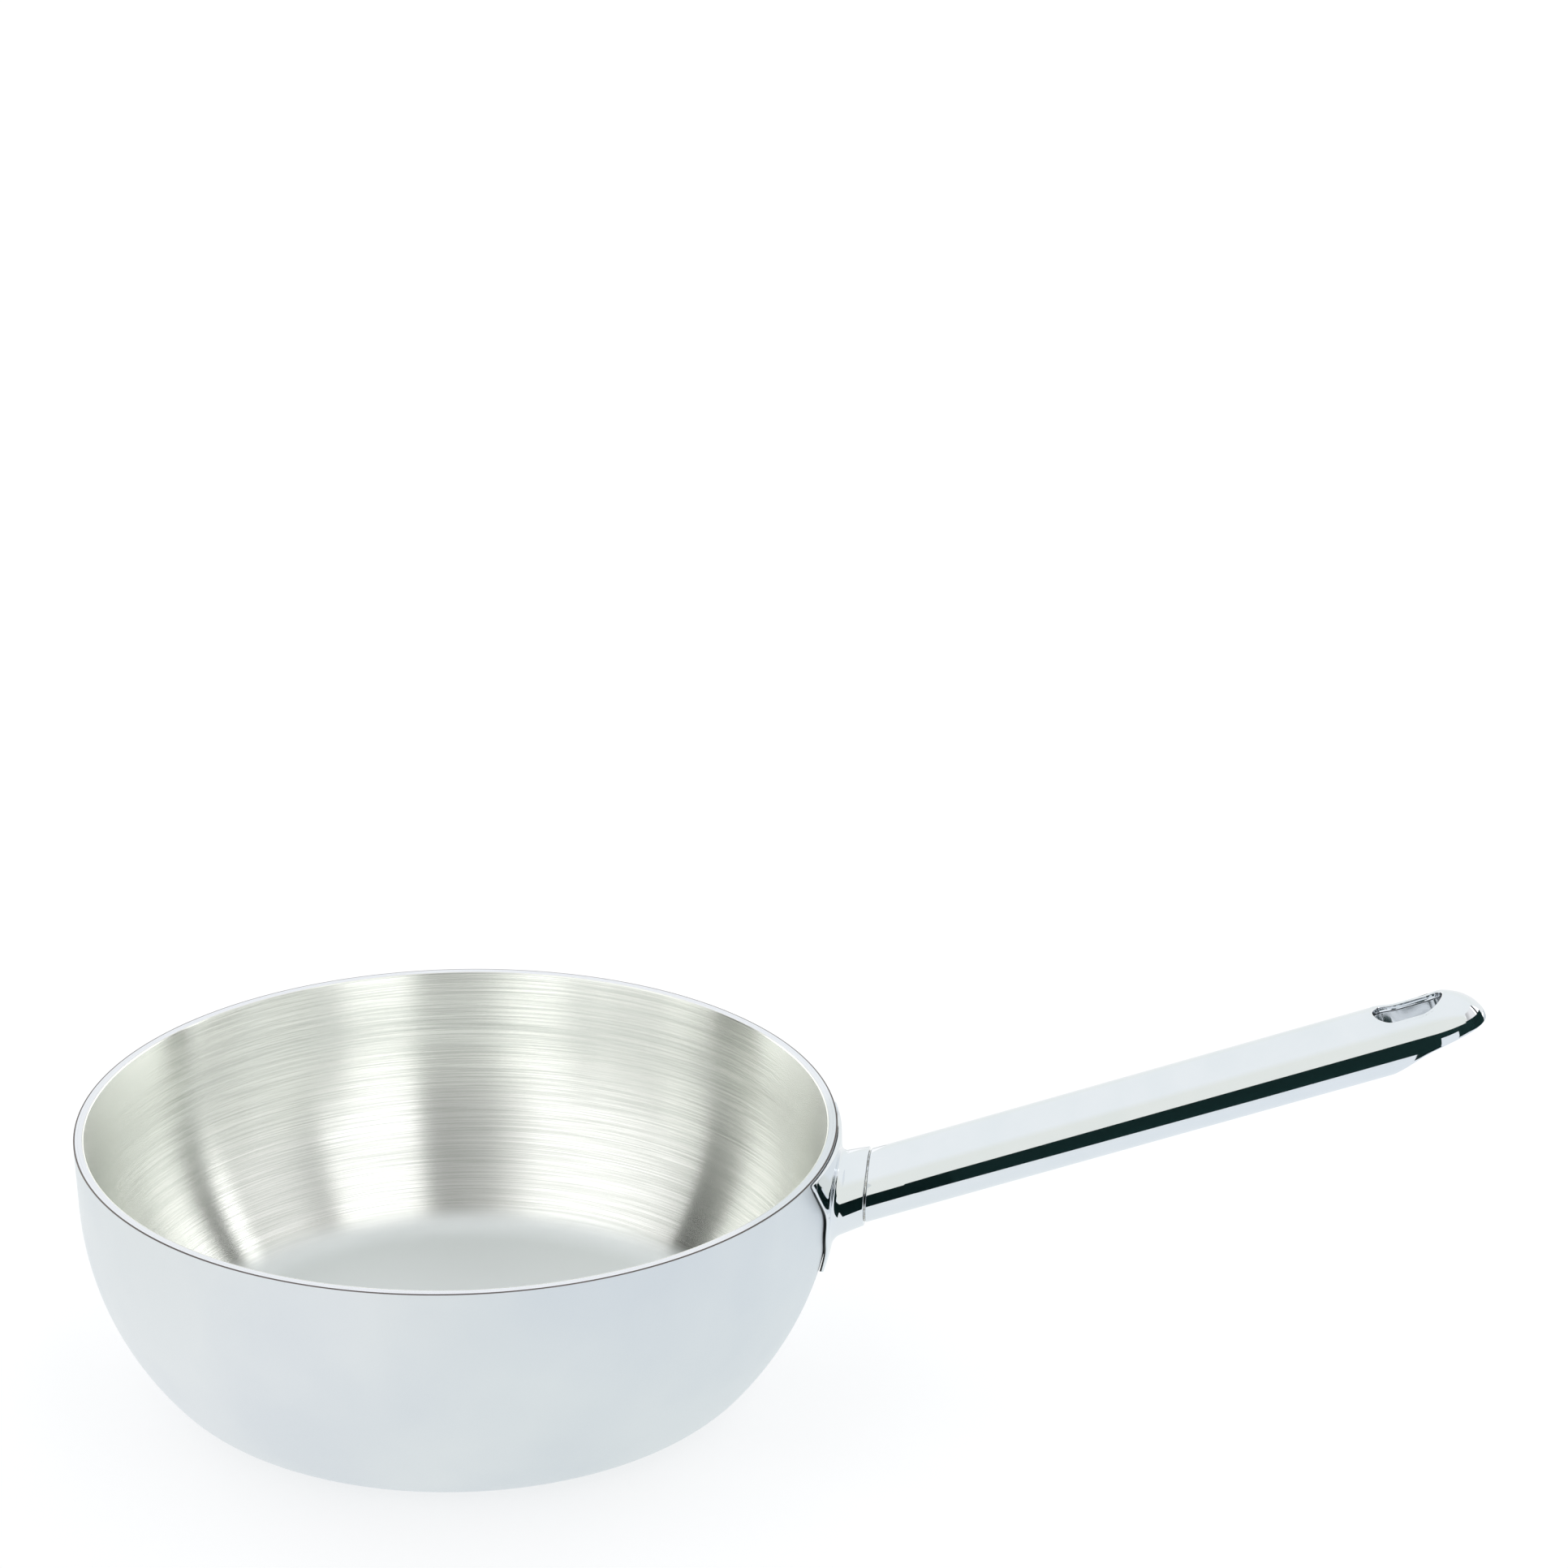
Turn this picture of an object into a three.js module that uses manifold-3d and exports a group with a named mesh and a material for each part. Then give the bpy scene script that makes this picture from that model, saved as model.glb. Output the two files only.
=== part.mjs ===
// Saute pan: a clad steel bowl with a hollow tube handle welded to its wall.
// Millimetres, +Z up. The origin is the middle of the flat base, and the handle points along +X.

import * as THREE from 'three';
import { mergeVertices } from 'three/addons/utils/BufferGeometryUtils.js';
import Module from 'manifold-3d';

const wasm = await Module();
wasm.setup();

const DEGREE = Math.PI / 180;

// Bowl: its size, the curve of its side and its three bonded layers
const RIM_INNER_DIAMETER = 240;
const PAN_HEIGHT = 87;
const WALL_LEAN = 2.4 * DEGREE; // outward lean of the straight top of the wall
const SIDE_RADIUS = 96; // long curve of the side, measured outside
const HEEL_RADIUS = 22.5; // tight curve from the side into the base
const HEEL_SWEEP = 50 * DEGREE; // turn of the heel curve, from the flat base
const LINER_THICKNESS = 0.5;
const CORE_THICKNESS = 2.24;
const SKIN_THICKNESS = 0.5;
const BOND_LINE = 0.03; // clearance between two layers
const RIM_CHAMFER = 0.3; // broken edge on both sides of the ground rim

// Handle: its line and the round tube
const HANDLE_DROP = 19.4; // depth below the rim where the handle's axis meets the wall
const HANDLE_TILT = 20.3 * DEGREE; // above the horizontal
const HANDLE_REACH = 218.7; // along the axis, from the wall to the tip
const TUBE_DIAMETER = 22.3;
const TUBE_WALL = 1.2;
const TUBE_CHAMFER = 0.3; // broken edge of the tube's open end

// Nose of the tube: a rounded end over a scooped underside
const NOSE_LENGTH = 16.7;
const NOSE_TIP_HEIGHT = -1.4; // from the tube's axis
const NOSE_SOLID = 5; // closed metal behind the tip
const SCOOP_RADIUS = 44;
const SCOOP_FLOOR = -2.8; // height of the finished underside, from the tube's axis
const SCOOP_END = 6.7; // from the tip back to where the scoop runs level
const SCOOP_EDGE = 28; // crispness of the scoop's edges

// Hanging hole: an oval with rolled lips and a sleeve between them
const HOLE_LENGTH = 22.4;
const HOLE_WIDTH = 14;
const HOLE_SETBACK = 22.2; // from the tip to the middle of the hole
const LIP_THICKNESS = 2.4;
const TOP_LIP_DEPTH = 2.6;
const TOP_LIP_ROLL = 1.3;
const BOTTOM_LIP_DEPTH = 2;
const BOTTOM_LIP_ROLL = 1;
const SLEEVE_WALL = 1;
const SLEEVE_CLEARANCE = 0.3; // from the sleeve's ends to the lips

// Handle foot: a shield on the wall, the neck and the spigot inside the tube
const FOOT_TOP_DROP = 0.7; // below the rim
const FOOT_WIDTH = 66; // along the wall, across the top of the shield
const FOOT_WAIST = 30; // width where the wings run into the tail
const FOOT_WAIST_DROP = 5; // below the handle's axis
const FOOT_TAIL_WIDTH = 15;
const FOOT_TAIL_DROP = 25; // below the handle's axis
const FOOT_TAIL_ROUND = 2.2;
const FOOT_CORNER = 1.6;
const FOOT_STANDOFF = 0.4; // from the wall to the back of the shield
const FOOT_EDGE = 0.3; // thickness of the shield's rim
const FOOT_THICKNESS = 1.4; // round the neck
const FOOT_TAPER = 0.033; // thickness lost for each millimetre sideways from the handle's plane
const NECK_LENGTH = 11.3; // from the wall to the middle of the seam, square to the wall
const NECK_FLARE = 1.6; // the neck's root is thicker than the tube by this, on the radius
const NECK_STEP = 0.85; // and its end by this
const NECK_FILLET = 2.6;
const SPIGOT_LENGTH = 16;
const SPIGOT_CLEARANCE = 0.3;

// Welds: the ring in the seam, and the projection welds behind the foot
const SEAM_WIDTH = 0.6;
const SEAM_DEPTH = 0.3; // below the tube's surface
const SEAM_CLEARANCE = 0.1;
const WELD_DIAMETER = 6;
const WELD_CLEARANCE = 0.13;
const WING_WELD_OFFSET = 19; // along the wall, each side of the handle
const WING_WELD_DROP = 6.5; // below the rim
const TAIL_WELD_DROP = 17; // below the handle's axis

// Facets
const LATHE_SEGMENTS = 48;
const ARC_STEPS = 3; // half the number of chords in each curve of the bowl
const ROUND_POINTS = 36;
const STADIUM_POINTS = 12; // in each round end of the hole
const SHIELD_POINTS = 24; // in each half of the shield's outline
const WELD_POINTS = 16;

// Bowl profile, worked out from the sizes above
const WALL_THICKNESS = LINER_THICKNESS + CORE_THICKNESS + SKIN_THICKNESS + 2 * BOND_LINE;
const RIM_RADIUS = RIM_INNER_DIAMETER / 2 + WALL_THICKNESS / Math.cos(WALL_LEAN);
const HEEL_SLOPE = 90 * DEGREE - HEEL_SWEEP;
const SIDE_CENTRE_HEIGHT = HEEL_RADIUS + (SIDE_RADIUS - HEEL_RADIUS) * Math.sin(HEEL_SLOPE);
const SIDE_TOP = SIDE_CENTRE_HEIGHT - SIDE_RADIUS * Math.sin(WALL_LEAN);
const SIDE_TOP_RADIUS = RIM_RADIUS - (PAN_HEIGHT - SIDE_TOP) * Math.tan(WALL_LEAN);
const SIDE_CENTRE_RADIUS = SIDE_TOP_RADIUS - SIDE_RADIUS * Math.cos(WALL_LEAN);
const BASE_RADIUS = SIDE_CENTRE_RADIUS + (SIDE_RADIUS - HEEL_RADIUS) * Math.cos(HEEL_SLOPE);

// Handle stations along its axis, worked out from the sizes above
const TUBE_RADIUS = TUBE_DIAMETER / 2;
const SPIGOT_RADIUS = TUBE_RADIUS - TUBE_WALL - SPIGOT_CLEARANCE;
const NOSE_START = HANDLE_REACH - NOSE_LENGTH;
const SCOOP_STOP = HANDLE_REACH - SCOOP_END;
const HOLE_CENTRE = HANDLE_REACH - HOLE_SETBACK;

const polishedSteel = new THREE.MeshStandardMaterial({ color: 0xe3e7ee, roughness: 0.06, metalness: 1 });
const satinSteel = new THREE.MeshStandardMaterial({ color: 0xdde2e8, roughness: 0.4, metalness: 1 });
const brushedSteel = new THREE.MeshStandardMaterial({ color: 0xcfcfc6, roughness: 0.3, metalness: 1 });
const aluminium = new THREE.MeshStandardMaterial({ color: 0xd2d4d6, roughness: 0.45, metalness: 1 });
const weldSteel = new THREE.MeshStandardMaterial({ color: 0x9a9da1, roughness: 0.5, metalness: 1 });

// Evenly spaced angles round a circle.
function turns(count) {
  return Array.from({ length: count }, (_, step) => (step / count) * 2 * Math.PI);
}

// A closed skin over loops of points. It ends in a fan at each end, or runs back to its first loop as a ring.
function loft(loops, ring = false) {
  const count = loops[0].length;
  const vertices = loops.flat();
  const faces = [];
  const spans = ring ? loops.length : loops.length - 1;
  for (let span = 0; span < spans; span += 1) {
    const lower = span * count;
    const upper = ((span + 1) % loops.length) * count;
    for (let step = 0; step < count; step += 1) {
      const next = (step + 1) % count;
      faces.push(lower + step, lower + next, upper + next);
      faces.push(lower + step, upper + next, upper + step);
    }
  }
  if (!ring) {
    fan(vertices, faces, 0, count, true);
    fan(vertices, faces, (loops.length - 1) * count, count, false);
  }
  const geometry = new THREE.BufferGeometry().setFromPoints(vertices);
  geometry.setIndex(faces);
  geometry.computeVertexNormals();
  return geometry;
}

// Closes one end of a loft with triangles round the middle of its loop.
function fan(vertices, faces, start, count, reversed) {
  const middle = new THREE.Vector3();
  for (let step = 0; step < count; step += 1) {
    middle.addScaledVector(vertices[start + step], 1 / count);
  }
  const tip = vertices.push(middle) - 1;
  for (let step = 0; step < count; step += 1) {
    const here = start + step;
    const next = start + ((step + 1) % count);
    faces.push(tip, reversed ? next : here, reversed ? here : next);
  }
}

// A solid for joining and cutting.
function toSolid(geometry) {
  const bare = geometry.clone();
  bare.deleteAttribute('normal');
  bare.deleteAttribute('uv');
  const merged = mergeVertices(bare);
  const vertProperties = new Float32Array(merged.attributes.position.array);
  const triVerts = new Uint32Array(merged.index.array);
  return new wasm.Manifold(new wasm.Mesh({ numProp: 3, vertProperties, triVerts }));
}

// The geometry of a joined or cut solid.
function toGeometry(solid) {
  const mesh = solid.getMesh();
  const geometry = new THREE.BufferGeometry();
  geometry.setAttribute('position', new THREE.BufferAttribute(mesh.vertProperties, 3));
  geometry.setIndex(new THREE.BufferAttribute(mesh.triVerts, 1));
  geometry.computeVertexNormals();
  return geometry;
}

function addPiece(parent, name, geometry, material) {
  const piece = new THREE.Mesh(geometry, material);
  piece.name = name;
  parent.add(piece);
}

// The bowl's profile, set in from its outside by a depth: base, heel curve, side curve and straight wall.
function bowlProfile(depth) {
  const path = new THREE.Path();
  path.moveTo(0, depth);
  path.lineTo(BASE_RADIUS, depth);
  path.absarc(BASE_RADIUS, HEEL_RADIUS, HEEL_RADIUS - depth, -90 * DEGREE, -HEEL_SLOPE);
  path.absarc(SIDE_CENTRE_RADIUS, SIDE_CENTRE_HEIGHT, SIDE_RADIUS - depth, -HEEL_SLOPE, -WALL_LEAN);
  path.lineTo(RIM_RADIUS - depth / Math.cos(WALL_LEAN), PAN_HEIGHT);
  return path.getPoints(ARC_STEPS);
}

// Breaks the corner at the top of a profile, towards the inside or the outside of the rim.
function breakRim(profile, inward) {
  const corner = profile.pop();
  const side = inward ? 1 : -1;
  profile.push(new THREE.Vector2(corner.x, corner.y - RIM_CHAMFER));
  profile.push(new THREE.Vector2(corner.x + side * RIM_CHAMFER, corner.y));
}

// One bonded layer of the bowl, between two depths from the outside.
function bowlLayer(outerDepth, innerDepth) {
  const outside = bowlProfile(outerDepth);
  const inside = bowlProfile(innerDepth);
  if (outerDepth === 0) breakRim(outside, false);
  if (innerDepth === WALL_THICKNESS) breakRim(inside, true);
  const geometry = new THREE.LatheGeometry([...outside, ...inside.reverse()], LATHE_SEGMENTS);
  geometry.rotateX(90 * DEGREE);
  return geometry;
}

// A point near the outside of the wall: along is the arc from the handle's plane, drop the depth below
// the rim and lift the distance off the wall.
function wallPoint(along, drop, lift) {
  const height = PAN_HEIGHT - drop;
  const straight = height > SIDE_TOP;
  const slope = straight ? WALL_LEAN : Math.asin((SIDE_CENTRE_HEIGHT - height) / SIDE_RADIUS);
  const curved = SIDE_CENTRE_RADIUS + SIDE_RADIUS * Math.cos(slope);
  const radius = straight ? RIM_RADIUS - drop * Math.tan(WALL_LEAN) : curved;
  const reach = radius + lift * Math.cos(slope);
  const turn = along / radius;
  return new THREE.Vector3(reach * Math.cos(turn), reach * Math.sin(turn), height - lift * Math.sin(slope));
}

// The distance of a point off the outside of the wall.
function liftOff(point) {
  const radius = Math.hypot(point.x, point.y);
  const across = radius - SIDE_CENTRE_RADIUS;
  const below = SIDE_CENTRE_HEIGHT - point.z;
  if (Math.atan2(below, across) > WALL_LEAN) return Math.hypot(across, below) - SIDE_RADIUS;
  return (radius - RIM_RADIUS) * Math.cos(WALL_LEAN) - (point.z - PAN_HEIGHT) * Math.sin(WALL_LEAN);
}

// The handle's own frame: it starts on the wall, with its X axis along the tube and its Y axis across it.
const handle = new THREE.Group();
handle.position.copy(wallPoint(0, HANDLE_DROP, 0));
handle.rotation.y = -HANDLE_TILT;
handle.updateMatrix();

// The slope of the wall behind the handle, and the angle between the tube and the square to that wall.
const ROOT_FALL = SIDE_CENTRE_HEIGHT - (PAN_HEIGHT - HANDLE_DROP);
const ROOT_SLOPE = Math.max(WALL_LEAN, Math.asin(ROOT_FALL / SIDE_RADIUS));
const MITRE = HANDLE_TILT + ROOT_SLOPE;

// A point on a circle round the tube's axis, in the plane parallel to the wall at a distance from it.
function mitrePoint(angle, radius, distance) {
  const up = radius * Math.sin(angle);
  const along = (distance + up * Math.sin(MITRE)) / Math.cos(MITRE);
  return new THREE.Vector3(along, radius * Math.cos(angle), up);
}

// A point on a circle round the tube's axis, at a station along it.
function tubePoint(angle, radius, station) {
  return new THREE.Vector3(station, radius * Math.cos(angle), radius * Math.sin(angle));
}

// The point, in the pan's frame, where a line beside the tube's axis stands off the wall by a lift.
function rootPoint(angle, radius, lift) {
  let near = -TUBE_DIAMETER;
  let far = TUBE_DIAMETER * 2;
  for (let step = 0; step < 40; step += 1) {
    const middle = (near + far) / 2;
    const reached = liftOff(tubePoint(angle, radius, middle).applyMatrix4(handle.matrix)) > lift;
    far = reached ? middle : far;
    near = reached ? near : middle;
  }
  return tubePoint(angle, radius, far).applyMatrix4(handle.matrix);
}

// One half of the shield's outline, from the middle of its top to the end of its tail. X is along the
// wall and Y is the height above the handle's axis.
function shieldHalf() {
  const top = HANDLE_DROP - FOOT_TOP_DROP;
  const wing = FOOT_WIDTH / 2;
  const waist = FOOT_WAIST / 2;
  const tail = FOOT_TAIL_WIDTH / 2;
  const path = new THREE.Path();
  path.moveTo(0, top);
  path.lineTo(wing - FOOT_CORNER, top);
  path.quadraticCurveTo(wing, top, wing - FOOT_CORNER, top - FOOT_CORNER);
  path.bezierCurveTo(waist + (wing - waist) * 0.3, top * 0.2, waist, top * 0.1, waist, -FOOT_WAIST_DROP);
  const turnIn = -FOOT_TAIL_DROP + FOOT_TAIL_ROUND;
  path.bezierCurveTo(waist, -FOOT_TAIL_DROP / 2, tail + 1, -FOOT_TAIL_DROP / 2, tail, turnIn);
  path.quadraticCurveTo(tail, -FOOT_TAIL_DROP, 0, -FOOT_TAIL_DROP);
  return path.getSpacedPoints(SHIELD_POINTS);
}

// The shield's outline as angles and distances round the handle's axis, on the wall.
function shieldOutline() {
  const right = shieldHalf();
  const left = right.slice(1, -1).map((point) => new THREE.Vector2(-point.x, point.y));
  const points = [...left, ...right.reverse()];
  return points.map((point) => ({ angle: Math.atan2(point.y, point.x), reach: point.length() }));
}

// The foot: the shield's back on the wall, its rounded rim, the hollow curve up to the neck, and the spigot.
function handleFoot() {
  const outline = shieldOutline();
  const root = TUBE_RADIUS + NECK_FLARE;
  const crown = FOOT_STANDOFF + FOOT_THICKNESS;
  const loops = [];
  const onShield = (share, inset, liftAt) => {
    loops.push(outline.map(({ angle, reach }) => {
      const distance = reach * share - inset;
      const along = distance * Math.cos(angle);
      return wallPoint(along, HANDLE_DROP - distance * Math.sin(angle), liftAt(Math.abs(along)));
    }));
  };
  for (const share of [0.05, 0.25, 0.5, 0.75, 1]) onShield(share, 0, () => FOOT_STANDOFF);
  onShield(1, 0, () => FOOT_STANDOFF + FOOT_EDGE);
  onShield(1, FOOT_EDGE, (sideways) => crown - FOOT_TAPER * sideways);

  for (const turn of [0, 22.5, 45, 67.5, 90]) {
    const spread = root + NECK_FILLET * (1 - Math.sin(turn * DEGREE));
    const lift = crown + NECK_FILLET * (1 - Math.cos(turn * DEGREE));
    loops.push(outline.map(({ angle, reach }) => (
      rootPoint(angle, Math.min(spread, reach - FOOT_EDGE), lift)
    )));
  }

  const inHandle = (point) => point.applyMatrix4(handle.matrix);
  const shoulder = NECK_LENGTH - SEAM_WIDTH / 2;
  const end = TUBE_RADIUS + NECK_STEP;
  const neckRings = [
    [end, shoulder - TUBE_CHAMFER],
    [end - TUBE_CHAMFER, shoulder],
    [SPIGOT_RADIUS, shoulder],
  ];
  for (const [radius, distance] of neckRings) {
    loops.push(outline.map(({ angle }) => inHandle(mitrePoint(angle, radius, distance))));
  }
  const spigotEnd = NECK_LENGTH / Math.cos(MITRE) + SPIGOT_LENGTH;
  const spigotRings = [
    [SPIGOT_RADIUS, spigotEnd - TUBE_WALL],
    [SPIGOT_RADIUS - TUBE_WALL, spigotEnd],
  ];
  for (const [radius, station] of spigotRings) {
    loops.push(outline.map(({ angle }) => inHandle(tubePoint(angle, radius, station))));
  }
  return loft(loops);
}

// One projection weld: a low disc between the wall and the back of the foot.
function footWeld(along, drop) {
  const radius = WELD_DIAMETER / 2;
  const disc = (lift) => turns(WELD_POINTS).map((angle) => (
    wallPoint(along + radius * Math.cos(angle), drop - radius * Math.sin(angle), lift)
  ));
  return loft([disc(WELD_CLEARANCE), disc(FOOT_STANDOFF - WELD_CLEARANCE)]);
}

// The weld ring that lies in the seam between the neck and the tube.
function seamWeld() {
  const outer = TUBE_RADIUS - SEAM_DEPTH;
  const inner = SPIGOT_RADIUS + SEAM_CLEARANCE;
  const near = NECK_LENGTH - SEAM_WIDTH / 2 + SEAM_CLEARANCE;
  const far = NECK_LENGTH + SEAM_WIDTH / 2 - SEAM_CLEARANCE;
  const rings = [[inner, far], [inner, near], [outer, near], [outer, far]];
  const loops = rings.map(([radius, distance]) => (
    turns(ROUND_POINTS).map((angle) => mitrePoint(angle, radius, distance))
  ));
  return loft(loops, true);
}

// The height of the scooped underside at a station along the handle.
function scoopFloor(station) {
  const run = THREE.MathUtils.clamp(SCOOP_STOP - station, 0, SCOOP_RADIUS);
  return SCOOP_FLOOR - SCOOP_RADIUS + Math.sqrt(SCOOP_RADIUS ** 2 - run ** 2);
}

// How far the rounded nose has closed in on its tip: 1 on the plain tube and 0 at the end.
function noseShare(station, end) {
  const run = Math.max(station - NOSE_START, 0) / (end - NOSE_START);
  return Math.sqrt(Math.max(1 - run ** 2, 0));
}

// A loop round the tube at one station: a circle with the scoop's floor across it, drawn in towards the
// nose's tip.
function tubeSection(station, inset, end, tipHeight) {
  const radius = TUBE_RADIUS - inset;
  const floor = scoopFloor(station) + inset;
  const middle = (Math.max(floor, -radius) + radius) / 2;
  const share = noseShare(station, end);
  return turns(ROUND_POINTS).map((angle) => {
    const across = Math.cos(angle);
    const up = Math.sin(angle);
    const toCircle = Math.sqrt(radius ** 2 - (middle * across) ** 2) - middle * up;
    const toFloor = up < 0 ? (floor - middle) / up : Infinity;
    const reach = (toCircle ** -SCOOP_EDGE + toFloor ** -SCOOP_EDGE) ** (-1 / SCOOP_EDGE);
    const height = middle + reach * up;
    return new THREE.Vector3(station, reach * across * share, tipHeight + (height - tipHeight) * share);
  });
}

// Loops from the start of the scoop to just short of the nose's tip.
function noseLoops(inset, end, tipHeight) {
  const start = SCOOP_STOP - SCOOP_RADIUS * 0.75;
  const loops = [];
  for (let step = 0; step < 6; step += 1) {
    loops.push(tubeSection(start + ((NOSE_START - start) * step) / 6, inset, end, tipHeight));
  }
  for (const turn of [0, 18, 36, 52, 66, 78, 86]) {
    const station = NOSE_START + (end - NOSE_START) * Math.sin(turn * DEGREE);
    loops.push(tubeSection(station, inset, end, tipHeight));
  }
  return loops;
}

// The outside of the tube as one full solid, mitred at its root.
function tubeBody() {
  const near = NECK_LENGTH + SEAM_WIDTH / 2;
  const rootRings = [[TUBE_RADIUS - TUBE_CHAMFER, near], [TUBE_RADIUS, near + TUBE_CHAMFER]];
  const root = rootRings.map(([radius, distance]) => (
    turns(ROUND_POINTS).map((angle) => mitrePoint(angle, radius, distance))
  ));
  return toSolid(loft([...root, ...noseLoops(0, HANDLE_REACH, NOSE_TIP_HEIGHT)]));
}

// The hollow inside the tube, open past its root.
function tubeHollow() {
  const radius = TUBE_RADIUS - TUBE_WALL;
  const mouth = turns(ROUND_POINTS).map((angle) => tubePoint(angle, radius, 0));
  return toSolid(loft([mouth, ...noseLoops(TUBE_WALL, HANDLE_REACH - NOSE_SOLID, NOSE_SOLID / 2)]));
}

// The oval of the hanging hole, wider all round by a spread. Height gives the third coordinate of each point.
function holeLoop(spread, height) {
  const radius = HOLE_WIDTH / 2 + spread;
  const shift = (HOLE_LENGTH - HOLE_WIDTH) / 2;
  const loop = [];
  for (const side of [1, -1]) {
    for (let step = 0; step <= STADIUM_POINTS; step += 1) {
      const angle = (step / STADIUM_POINTS - 0.5) * Math.PI;
      const along = HOLE_CENTRE + side * (shift + radius * Math.cos(angle));
      const across = side * radius * Math.sin(angle);
      loop.push(new THREE.Vector3(along, across, height(along, across)));
    }
  }
  return loop;
}

// An upright oval prism through the whole tube.
function holePrism(spread) {
  return toSolid(loft([holeLoop(spread, () => -TUBE_DIAMETER), holeLoop(spread, () => TUBE_DIAMETER)]));
}

// The height of the tube's top and of its underside over a place beside the axis.
function topHeight(along, across) {
  const share = noseShare(along, HANDLE_REACH);
  const rise = Math.sqrt(TUBE_RADIUS ** 2 - (across / share) ** 2);
  return NOSE_TIP_HEIGHT + (rise - NOSE_TIP_HEIGHT) * share;
}

function bottomHeight(along, across) {
  return Math.max(-Math.sqrt(TUBE_RADIUS ** 2 - across ** 2), scoopFloor(along));
}

// The tool that cuts the hole: straight in the middle, and rolled out to the surface at both ends.
function holeTool() {
  const rolls = [0, 30, 60, 90].map((turn) => ({
    open: 1 - Math.sin(turn * DEGREE),
    deep: 1 - Math.cos(turn * DEGREE),
  }));
  const below = rolls.map(({ open, deep }) => (
    holeLoop(BOTTOM_LIP_ROLL * open, (along, across) => bottomHeight(along, across) + BOTTOM_LIP_ROLL * deep)
  ));
  const above = rolls.map(({ open, deep }) => (
    holeLoop(TOP_LIP_ROLL * open, (along, across) => topHeight(along, across) - TOP_LIP_ROLL * deep)
  ));
  const loops = [
    holeLoop(BOTTOM_LIP_ROLL, () => -TUBE_DIAMETER),
    ...below,
    ...above.reverse(),
    holeLoop(TOP_LIP_ROLL, () => TUBE_DIAMETER),
  ];
  return toSolid(loft(loops));
}

// The tube: hollow, with two lips of its own metal turned in round the hole.
function handleTube(body) {
  const lipBlock = holePrism(LIP_THICKNESS).intersect(body);
  const topLip = lipBlock.subtract(body.translate([0, 0, -TOP_LIP_DEPTH]));
  const bottomLip = lipBlock.subtract(body.translate([0, 0, BOTTOM_LIP_DEPTH]));
  return toGeometry(body.subtract(tubeHollow()).add(topLip).add(bottomLip).subtract(holeTool()));
}

// The sleeve that lines the hole from one lip to the other.
function hangingSleeve(body) {
  const wall = holePrism(SLEEVE_WALL).subtract(holePrism(0));
  const underTop = body.translate([0, 0, -TOP_LIP_DEPTH - SLEEVE_CLEARANCE]);
  const overBottom = body.translate([0, 0, BOTTOM_LIP_DEPTH + SLEEVE_CLEARANCE]);
  return toGeometry(wall.intersect(underTop).intersect(overBottom));
}

const pan = new THREE.Group();
pan.name = 'saute_pan';

const coreDepth = SKIN_THICKNESS + BOND_LINE;
const linerDepth = coreDepth + CORE_THICKNESS + BOND_LINE;
addPiece(pan, 'outer_skin', bowlLayer(0, SKIN_THICKNESS), satinSteel);
addPiece(pan, 'aluminium_core', bowlLayer(coreDepth, coreDepth + CORE_THICKNESS), aluminium);
addPiece(pan, 'cooking_liner', bowlLayer(linerDepth, WALL_THICKNESS), brushedSteel);

addPiece(pan, 'handle_foot', handleFoot(), polishedSteel);
addPiece(pan, 'foot_weld_centre', footWeld(0, HANDLE_DROP), weldSteel);
addPiece(pan, 'foot_weld_tail', footWeld(0, HANDLE_DROP + TAIL_WELD_DROP), weldSteel);
addPiece(pan, 'foot_weld_left', footWeld(WING_WELD_OFFSET, WING_WELD_DROP), weldSteel);
addPiece(pan, 'foot_weld_right', footWeld(-WING_WELD_OFFSET, WING_WELD_DROP), weldSteel);

const body = tubeBody();
addPiece(handle, 'tube_seam_weld', seamWeld(), weldSteel);
addPiece(handle, 'handle_tube', handleTube(body), polishedSteel);
addPiece(handle, 'hanging_sleeve', hangingSleeve(body), polishedSteel);
pan.add(handle);

export default pan;
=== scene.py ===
"""Saute pan: fine surfaces, finishes, studio and camera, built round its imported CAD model."""

import logging
import math
from collections.abc import Callable, Sequence
from dataclasses import dataclass
from enum import Enum
from functools import cached_property
from typing import Any

import bpy
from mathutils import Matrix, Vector


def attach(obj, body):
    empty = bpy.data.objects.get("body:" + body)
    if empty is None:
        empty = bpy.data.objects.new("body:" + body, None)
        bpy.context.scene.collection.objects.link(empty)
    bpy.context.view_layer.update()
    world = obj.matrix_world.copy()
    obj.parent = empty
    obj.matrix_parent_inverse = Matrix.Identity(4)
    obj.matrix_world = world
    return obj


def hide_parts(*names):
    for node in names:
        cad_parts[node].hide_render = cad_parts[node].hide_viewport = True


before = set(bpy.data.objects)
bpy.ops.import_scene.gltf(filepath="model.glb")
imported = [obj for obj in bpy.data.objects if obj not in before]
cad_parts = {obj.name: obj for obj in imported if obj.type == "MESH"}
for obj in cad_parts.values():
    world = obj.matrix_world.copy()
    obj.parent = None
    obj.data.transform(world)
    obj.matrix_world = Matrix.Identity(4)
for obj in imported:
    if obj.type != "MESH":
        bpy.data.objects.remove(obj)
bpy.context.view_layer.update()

BODY = "root"
MM = 0.001
TOUCH = 1e-6  # metres: points closer than this are one point
SHARP = math.radians(40.0)  # edges that turn by more than this stay sharp
LEVEL = 1e-9  # sines smaller than this count as level
QUARTER = math.pi / 2  # a quarter turn
RIM_HEIGHT = 87.0
TUBE_RADIUS = 11.15
HANDLE_TILT = math.radians(20.3)
IN_PLAN = (1.0, 1.0, 0.0)  # times a vector: drops its height

LOG = logging.getLogger("saute_pan")

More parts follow.
